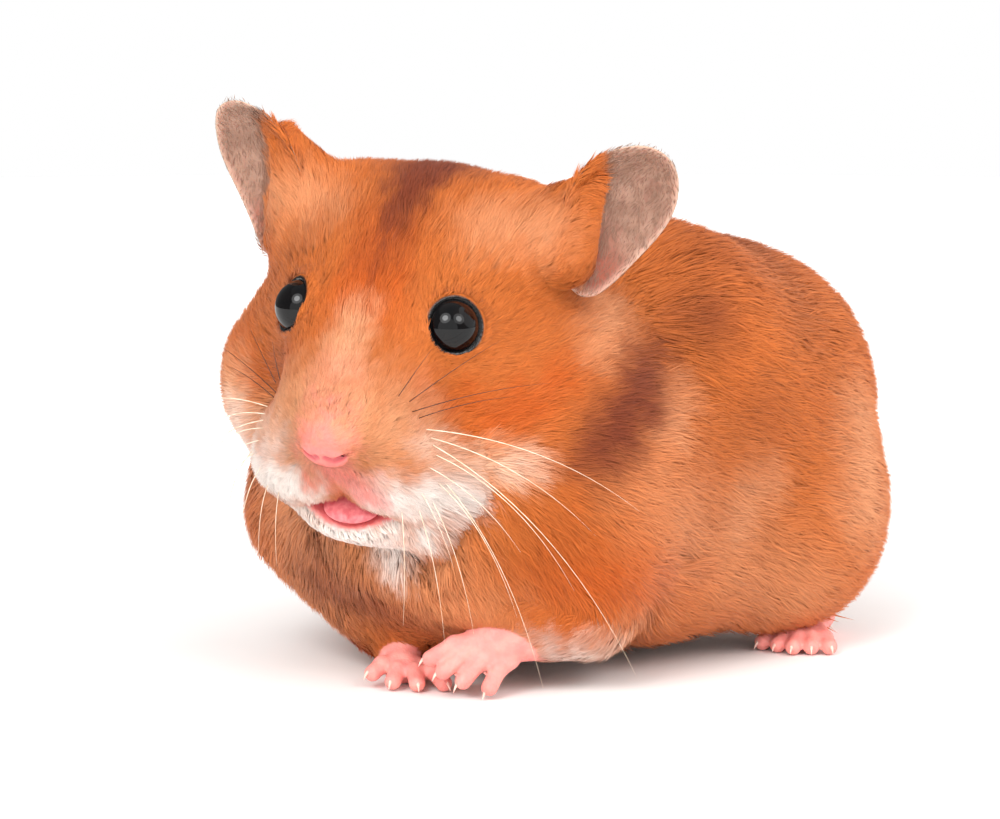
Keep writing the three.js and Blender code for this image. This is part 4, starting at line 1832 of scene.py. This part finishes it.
    def bent(self, roots: Roots, flow: Points, length: np.ndarray, rise: np.ndarray,
             outline: Field | None) -> list[Points]:
        """Where tufts come to before they gather into locks.

        Args:
            roots: where they grow.
            flow: each one's direction along the skin.
            length: each one's length.
            rise: each tip's height as a share of the coat's depth.
            outline: the surface that the tips keep under, where there is one.

        Returns:
            The tufts' middles and their tips.
        """
        line = []
        for step in (self.bend, 1.0):
            spot = roots.points + flow * length * step
            lift = roots.depth * rise * (1 - (1 - step) ** 1.7)
            if outline is not None:
                lift = np.clip(lift - roots.depth - outline(spot), -0.35 * length, 0.6 * length)
            line.append((spot + roots.normals * lift).astype(np.float32))
        return line

    def clear(self, *line: Points) -> np.ndarray:
        """Which tufts stay off the eyes and out of the mouth.

        Args:
            line: the middles and the tips.

        Returns:
            Whether each tuft is kept.
        """
        anatomy = self.anatomy
        kept = np.ones(line[0].shape[1], bool)
        for spot in line:
            seen = anatomy.in_eye(spot)
            over_eye = (length_of(seen) < 4.6) & (length_of(seen[:2]) < 3.3) & (seen[2] > 0)
            kept &= ~over_eye
            kept &= anatomy.mouth_form()(spot) > -0.8
        return kept


# ---- ears
@dataclass
class EarShell:
    """A thin cupped ear with a rolled margin."""

    anatomy: Anatomy
    placement: Placement
    ear: Ear
    half_width: float = 6.6
    half_length: float = 10
    cup_radius: float = 13.5
    thickness: float = 0.95
    rim_thickness: float = 0.42
    rings: int = 26
    spokes: int = 96

    @staticmethod
    def narrowing(along: np.ndarray) -> np.ndarray:
        """The share of the full width at a share of the half length."""
        return lerp(0.78, 1.06, ramp(along, -1, 0.5))

    def surface(self, radius: np.ndarray, angle: np.ndarray, outer: int) -> Points:
        """Points on one face of the shell, in the ear's frame.

        Args:
            radius: each point's share of the way from the middle to the rim.
            angle: its angle round the shell.
            outer: 1 for the face behind, and -1 for the one in front.

        Returns:
            The points.
        """
        flat_x, flat_z = radius * np.cos(angle), radius * np.sin(angle)
        x, z = self.half_width * self.narrowing(flat_z) * flat_x, self.half_length * flat_z
        cup = (x * x + (z - 1) ** 2) / (2 * self.cup_radius) + 1
        roll = 0.55 * ramp(radius, 0.86, 1.0) * ramp(flat_x, -0.3, 0.6)
        fold = 0.5 * np.exp(-(((x - 1.5) / 1.1) ** 2)) * ramp(flat_z, 0.1, -0.6)
        fold += 0.4 * np.exp(-(((x + 2.2) / 0.9) ** 2)) * ramp(flat_z, -0.1, -0.7)
        half = lerp(self.thickness, self.rim_thickness, ramp(radius, 0.3, 0.95)) / 2
        half = half * np.sqrt(np.clip(1 - radius ** 14, 0, 1))
        y = outer * half - cup - roll - fold * (outer < 0)
        return np.stack([x, y, z]).astype(np.float32)

    def vertices(self) -> np.ndarray:
        """The shell's points, ring after ring, on the face behind and then in front.

        Returns:
            Rows for x, y, z, the share of the way to the rim, and 1 on the face in front.
        """
        steps = (np.arange(1, self.rings + 1) / self.rings) ** 0.85
        turns = np.linspace(0, 2 * math.pi, self.spokes, endpoint=False)
        radii, angles = (grid.ravel() for grid in np.meshgrid(steps, turns, indexing="ij"))
        halves = []
        for outer in (1, -1):
            kept = slice(None) if outer > 0 else slice(-self.spokes)
            radius, angle = np.append(radii[kept], 0), np.append(angles[kept], 0)
            halves.append(np.vstack([self.surface(radius, angle, outer), radius,
                                     np.full(len(radius), outer < 0)]))
        return np.concatenate(halves, 1)

    def quads(self) -> np.ndarray:
        """The shell's faces.

        Returns:
            Four vertex numbers to a row. The last two are the same in a triangle.
        """
        size = self.rings * self.spokes
        faces = []

        def ring(half: int, row: int) -> np.ndarray:
            """The vertex numbers of one ring.

            Args:
                half: 0 for the face behind, and 1 for the one in front.
                row: the ring, from the middle outwards. Both halves share the last.

            Returns:
                The numbers, in order round the shell.
            """
            start = row * self.spokes + (size + 1 if half and row < self.rings - 1 else 0)
            return start + np.arange(self.spokes)

        for half in (0, 1):
            for row in range(self.rings - 1):
                low, high = ring(half, row), ring(half, row + 1)
                quad = np.stack([low, np.roll(low, -1), np.roll(high, -1), high], 1)
                faces.append(quad if half else quad[:, ::-1])
            centre = size if half == 0 else size + 1 + size - self.spokes
            first = ring(half, 0)
            fan = np.stack([np.full(self.spokes, centre), first, np.roll(first, -1),
                            np.roll(first, -1)], 1)
            faces.append(fan if not half else fan[:, ::-1])
        return np.concatenate(faces)

    def build(self, name: str, node: str, material: bpy.types.Material) -> bpy.types.Object:
        """Makes the shell's mesh.

        Args:
            name: the piece's name.
            node: the node that it replaces.
            material: the ear skin.

        Returns:
            The ear.
        """
        x, y, z, share, inner = self.vertices()
        quads = self.quads()
        if self.ear.side < 0:
            quads = quads[:, ::-1]
        points = moved(np.stack([x, y, z]), self.anatomy.ear_frame(self.ear))
        edit = bmesh.new()
        verts = [edit.verts.new(place) for place in self.placement.metres(points)]
        for quad in quads:
            corners = list(dict.fromkeys(int(i) for i in quad))
            edit.faces.new([verts[i] for i in corners])
        bmesh.ops.recalc_face_normals(edit, faces=edit.faces)
        mesh = finished(edit, name)
        # Masks for the finish: the rim's painted rim light, and the root's redder skin with
        # painted shade.
        rim = ramp(share, 0.86, 1.0)
        root = ramp(z + 0.6 * x, 1, -6)
        write_vectors(mesh, "rim_root_inner", np.stack([rim, root, inner], 1))
        shell = object_of(mesh, material, "ear_skin")
        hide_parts(node)
        return shell


# ---- small parts
@dataclass(frozen=True)
class Strand:
    """A tapering round strand through a curve of three control points."""

    start: Triple
    middle: Triple
    end: Triple
    radius: float
    tip: float = 0.15

    def rings(self, count: int, sides: int) -> Points:
        """The strand's rings of points, from its root to its tip.

        Args:
            count: how many rings.
            sides: how many points to a ring.

        Returns:
            The points, ring after ring.
        """
        steps = np.linspace(0, 1, count)
        ends = [column(point) for point in (self.start, self.middle, self.end)]
        path = ((1 - steps) ** 2 * ends[0] + 2 * steps * (1 - steps) * ends[1]
                + steps ** 2 * ends[2])
        heading = unit(np.gradient(path, axis=1))
        first = unit(np.cross(heading, column((0.3, 0.2, 0.9)), axis=0))
        second = np.cross(heading, first, axis=0)
        radius = self.radius * lerp(1, self.tip, steps ** 1.3)
        turn = np.linspace(0, 2 * math.pi, sides, endpoint=False)
        return np.concatenate([(path[:, i:i + 1] + radius[i] * (
            first[:, i:i + 1] * np.cos(turn) + second[:, i:i + 1] * np.sin(turn)))
            for i in range(count)], 1)


def strands_mesh(name: str, strands: list[Strand], placement: Placement, count: int = 12,
                 sides: int = 5) -> bpy.types.Mesh:
    """Many strands as one mesh, each closed at both ends.

    Args:
        name: the mesh's name.
        strands: what to make.
        placement: where the working frame lies.
        count: rings to a strand.
        sides: points to a ring.

    Returns:
        The mesh.
    """
    edit = bmesh.new()
    for strand in strands:
        rows = placement.metres(strand.rings(count, sides).astype(np.float32))
        verts = [edit.verts.new(row) for row in rows]
        for ring in range(count - 1):
            for side in range(sides):
                low, high = ring * sides, (ring + 1) * sides
                turn = (side + 1) % sides
                edit.faces.new([verts[low + side], verts[low + turn], verts[high + turn],
                                verts[high + side]])
        edit.faces.new(verts[:sides][::-1])
        edit.faces.new(verts[-sides:])
    bmesh.ops.recalc_face_normals(edit, faces=edit.faces)
    return finished(edit, name)


@dataclass(frozen=True)
class Whisker:
    """A whisker of the left side in the head's frame, and how far it bows upwards."""

    root: Triple
    tip: Triple
    bow: float
    dark: bool = False


WHISKERS = (
    Whisker((8.6, -11.9, -4.6), (17.3, -4, 0.5), 0.8, True),
    Whisker((8.8, -11.8, -6), (23.8, -4, -4), 1.5, True),
    Whisker((7.6, -12.6, -3.6), (10.5, -9, 1), 0.4, True),
    Whisker((9.4, -11.4, -7), (20, -6.5, -5.6), 1.2, True),
    Whisker((10.3, -11.6, -8.3), (33.4, -4, -20.4), 4.5),
    Whisker((10.8, -11.6, -9.4), (29, -6, -24), 4),
    Whisker((11, -11.8, -10.2), (34, -8, -41), 7),
    Whisker((10.6, -12.2, -11), (27, -10, -29), 5),
    Whisker((10.4, -12.6, -12.4), (22.5, -12, -42), 6),
    Whisker((10, -13, -13.2), (21, -14, -31.5), 4.5),
    Whisker((9.4, -13.4, -14), (16.5, -16, -33), 3.5),
    Whisker((8.4, -14, -14.6), (13, -18, -34), 3),
    Whisker((7.4, -14.6, -15), (8.5, -20, -31), 2),
    Whisker((9, -13.4, -11.6), (22, -14, -22), 3),
    Whisker((8, -14, -12.6), (15, -17, -24), 2),
)


@dataclass
class Whiskers:
    """The long hairs of the muzzle, dark in the upper rows and pale below."""

    anatomy: Anatomy
    placement: Placement
    radius: float = 0.065
    stray: float = 0.35
    right_share: float = 0.72

    def strands(self, dark: bool) -> list[Strand]:
        """The whiskers of the upper rows, or of the lower ones.

        Args:
            dark: whether the dark upper rows are wanted.

        Returns:
            A strand for each whisker, on both sides.
        """
        rng = np.random.default_rng(7)
        strands = []
        for side in (1, -1):
            for whisker in WHISKERS:
                root, tip = np.array(whisker.root), np.array(whisker.tip)
                tip = tip + self.stray * rng.normal(size=3)
                if side < 0:
                    tip = root + (tip - root) * self.right_share
                middle = (root + tip) / 2 + np.array((0.5, 0, 1)) * whisker.bow
                if whisker.dark == dark:
                    places = [moved(column(sided(tuple(point), side)), self.anatomy.head).ravel()
                              for point in (root, middle, tip)]
                    strands.append(Strand(*(tuple(map(float, p)) for p in places), self.radius))
        return strands

    def build(self) -> list[bpy.types.Object]:
        """Makes both sets of whiskers.

        Returns:
            The dark ones and the pale ones.
        """
        finishes = {
            True: PlainFinish("dark_whisker", linear(96, 48, 26), linear(58, 30, 18), 1, 0.35),
            False: PlainFinish("pale_whisker", linear(255, 236, 214), linear(236, 204, 172), 1,
                               0.35)}
        pieces = []
        for dark, finish in finishes.items():
            mesh = strands_mesh("whiskers_dark" if dark else "whiskers_pale",
                                self.strands(dark), self.placement, 16)
            pieces.append(object_of(mesh, finish.material(), "whisker"))
        return pieces


@dataclass
class Claws:
    """A small pale claw on each digit."""

    anatomy: Anatomy
    placement: Placement
    reach: float = 1.05
    radius: float = 0.3

    def build(self) -> bpy.types.Object:
        """Makes all the claws.

        Returns:
            The claws, as one piece.
        """
        hind = self.anatomy.hindfoot()
        paws = [(paw, 1) for paw in self.anatomy.forepaws] + [(hind, 1), (hind, -1)]
        strands = []
        for paw, side in paws:
            for knuckle, tip in zip(paw.knuckles, paw.tips):
                ahead = np.array(tip) - np.array(knuckle)
                ahead = ahead / np.linalg.norm(ahead)
                start = np.array(tip) + ahead * 0.55 + (0, 0, 0.3)
                middle = start + ahead * self.reach * 0.55 + (0, 0, 0.1)
                end = start + ahead * self.reach * 0.95
                end[2] = max(0.12, end[2] - 0.75)
                places = [sided(tuple(float(x) for x in p), side) for p in (start, middle, end)]
                strands.append(Strand(*places, self.radius, 0.12))
        mesh = strands_mesh("claws", strands, self.placement, 8, 8)
        finish = PlainFinish("pale_claw_horn", linear(250, 216, 200), linear(236, 184, 170), 0.5,
                             0.3)
        return object_of(mesh, finish.material(), "claw")


@dataclass
class Eyes:
    """Two wet black eyeballs."""

    anatomy: Anatomy
    placement: Placement

    def build(self) -> list[bpy.types.Object]:
        """Makes both eyes in place of their nodes.

        Returns:
            The left eye and the right one.
        """
        material = EyeFinish().material()
        pieces = []
        for name, side in (("eyeball_left", 1), ("eyeball_right", -1)):
            mesh = finished(sphere_edit(self.anatomy.eye_radius * MM), name)
            middle = self.placement.metres(self.anatomy.eye_centre(side))[0]
            for vertex in mesh.vertices:
                vertex.co += Vector(middle.tolist())
            piece = object_of(mesh, material, "eye")
            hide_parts("eye_left" if side > 0 else "eye_right")
            pieces.append(piece)
        return pieces


@dataclass
class Tongue:
    """The tongue on the mouth's floor, with a groove along it."""

    anatomy: Anatomy
    placement: Placement
    middle: Triple = (0, 1.0, -0.45)
    radii: Triple = (3.6, 2.5, 0.7)
    groove: float = 0.2
    groove_width: float = 0.6

    def build(self) -> bpy.types.Object:
        """Makes the tongue in place of its node.

        Returns:
            The tongue.
        """
        edit = sphere_edit(1)
        points = np.array([vertex.co[:] for vertex in edit.verts]).T * column(self.radii)
        dent = np.exp(-((points[0] / self.groove_width) ** 2))
        points[2] -= self.groove * dent * (points[2] > 0)
        places = moved(points + column(self.middle), self.anatomy.mouth_frame)
        for vertex, place in zip(edit.verts, self.placement.metres(places).tolist()):
            vertex.co = place
        flesh = PlainFinish("moist_tongue", linear(232, 128, 130), linear(214, 98, 104), 0.7, 0.42,
                            0.12)
        piece = object_of(finished(edit, "tongue_surface"), flesh.material(), "tongue")
        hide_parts("tongue")
        return piece


# ---- studio
@dataclass(frozen=True)
class Studio:
    """A pale floor, soft lights and the camera."""

    anatomy: Anatomy
    placement: Placement
    target: Triple = (9.5, -12, 34)
    azimuth: float = 45
    elevation: float = 8
    distance: float = 400
    image_width: int = 1000
    focal_pixels: float = 3268
    sensor: float = 36
    room_glow: float = 0.8
    mirrored_glow: float = 0.2
    backdrop_glow: float = 1.0
    floor_radius: float = 0.9

    def toward(self, azimuth: float, elevation: float) -> np.ndarray:
        """The direction from the animal to a place round it.

        Args:
            azimuth: degrees from straight ahead of it towards its left.
            elevation: degrees above the floor.

        Returns:
            A direction of length 1.
        """
        turn, rise = math.radians(azimuth), math.radians(elevation)
        return np.array([math.sin(turn) * math.cos(rise), -math.cos(turn) * math.cos(rise),
                         math.sin(rise)])

    def pointed(self, name: str, data: bpy.types.ID, aim: np.ndarray) -> bpy.types.Object:
        """A camera or lamp of the scene, turned to look back along a direction.

        Args:
            name: its name.
            data: the camera's or lamp's own data.
            aim: the direction from the animal to it.

        Returns:
            The object.
        """
        thing = bpy.data.objects.new(name, data)
        bpy.context.scene.collection.objects.link(thing)
        thing.rotation_euler = Vector(aim.tolist()).to_track_quat("Z", "Y").to_euler()
        return thing

    def camera(self) -> None:
        """Sets up the camera."""
        data = bpy.data.cameras.new("camera")
        data.sensor_width = self.sensor
        data.lens = self.focal_pixels / self.image_width * self.sensor
        data.clip_start, data.clip_end = 0.01, 50
        aim = self.toward(self.azimuth, self.elevation)
        place = np.array(self.target) + aim * self.distance
        camera = self.pointed("camera", data, aim)
        camera.location = self.placement.metres(column(tuple(place)))[0].tolist()
        bpy.context.scene.camera = camera

    def softbox(self, name: str, azimuth: float, elevation: float, width: float,
                strength: float) -> None:
        """A far soft light towards the animal.

        Args:
            name: the lamp's name.
            azimuth: how far round it stands, in degrees.
            elevation: how high it stands, in degrees.
            width: how wide it looks, in degrees.
            strength: its power.
        """
        data = bpy.data.lights.new(name, "SUN")
        data.angle, data.energy = math.radians(width), strength
        self.pointed(name, data, self.toward(azimuth, elevation))

    def lamps(self) -> None:
        """Sets up a softbox with a brighter core on each side, and three plain ones."""
        for name, around, above, strength in (("left", -28, 34, 0.88), ("right", 41, 29, 0.6)):
            way = self.azimuth + around, self.elevation + above
            self.softbox(f"lamp_{name}", *way, 42, strength)
            self.softbox(f"core_{name}", *way, 22, strength)
        self.softbox("lamp_front", self.azimuth - 12, self.elevation - 6, 80, 1.0)
        self.softbox("lamp_back", self.azimuth + 95, 30, 70, 0.7)
        self.softbox("lamp_above", self.azimuth + 10, 78, 80, 0.2)

    def room(self) -> None:
        """Surrounds the animal with even white light, dimmer where a gloss mirrors it."""
        world = bpy.data.worlds.new("white_studio")
        world.use_nodes = True
        tree = world.node_tree
        tree.nodes.clear()
        path = tree.nodes.new("ShaderNodeLightPath")
        shown = None
        for strength, ray in ((self.room_glow, None), (self.mirrored_glow, "Is Glossy Ray"),
                              (self.backdrop_glow, "Is Camera Ray")):
            glow = tree.nodes.new("ShaderNodeBackground")
            glow.inputs["Color"].default_value = (1, 1, 1, 1)
            glow.inputs["Strength"].default_value = strength
            if ray:
                choice = tree.nodes.new("ShaderNodeMixShader")
                tree.links.new(path.outputs[ray], choice.inputs[0])
                tree.links.new(shown, choice.inputs[1])
                tree.links.new(glow.outputs[0], choice.inputs[2])
                shown = choice.outputs[0]
            else:
                shown = glow.outputs[0]
        output = tree.nodes.new("ShaderNodeOutputWorld")
        tree.links.new(shown, output.inputs["Surface"])
        bpy.context.scene.world = world
        bpy.context.scene.view_settings.view_transform = "Standard"

    def floor(self) -> None:
        """Lays a round pale floor."""
        edit = bmesh.new()
        bmesh.ops.create_circle(edit, cap_ends=True, segments=96, radius=self.floor_radius)
        paint = PlainFinish("pale_floor", linear(250, 249, 247), linear(246, 245, 243), 40, 0.7)
        floor = object_of(finished(edit, "floor"), paint.material())

    def build(self) -> None:
        """Makes the camera, the lights and the floor."""
        self.camera()
        self.lamps()
        self.room()
        self.floor()


def main() -> None:
    """Builds the hamster and its studio."""
    logging.basicConfig(level=logging.INFO, format="%(name)s %(message)s")
    anatomy = Anatomy()
    placement = Placement.from_eye(anatomy)
    Studio(anatomy, placement).build()
    skin = Skin(anatomy, placement).build()
    coat = Coat(anatomy, placement)
    coat.cover_body(skin)
    ear_skin = EarFinish().material()
    for number, (ear, area) in enumerate(zip(anatomy.ears, EAR_AREAS)):
        side = "left" if ear.side > 0 else "right"
        shell = EarShell(anatomy, placement, ear).build(
            f"ear_shell_{side}", f"ear_{side}", ear_skin)
        coat.cover_ear(shell, ear, area, 300 + number)
    Eyes(anatomy, placement).build()
    Whiskers(anatomy, placement).build()
    Claws(anatomy, placement).build()
    Tongue(anatomy, placement).build()


if __name__ == "__main__":
    main()
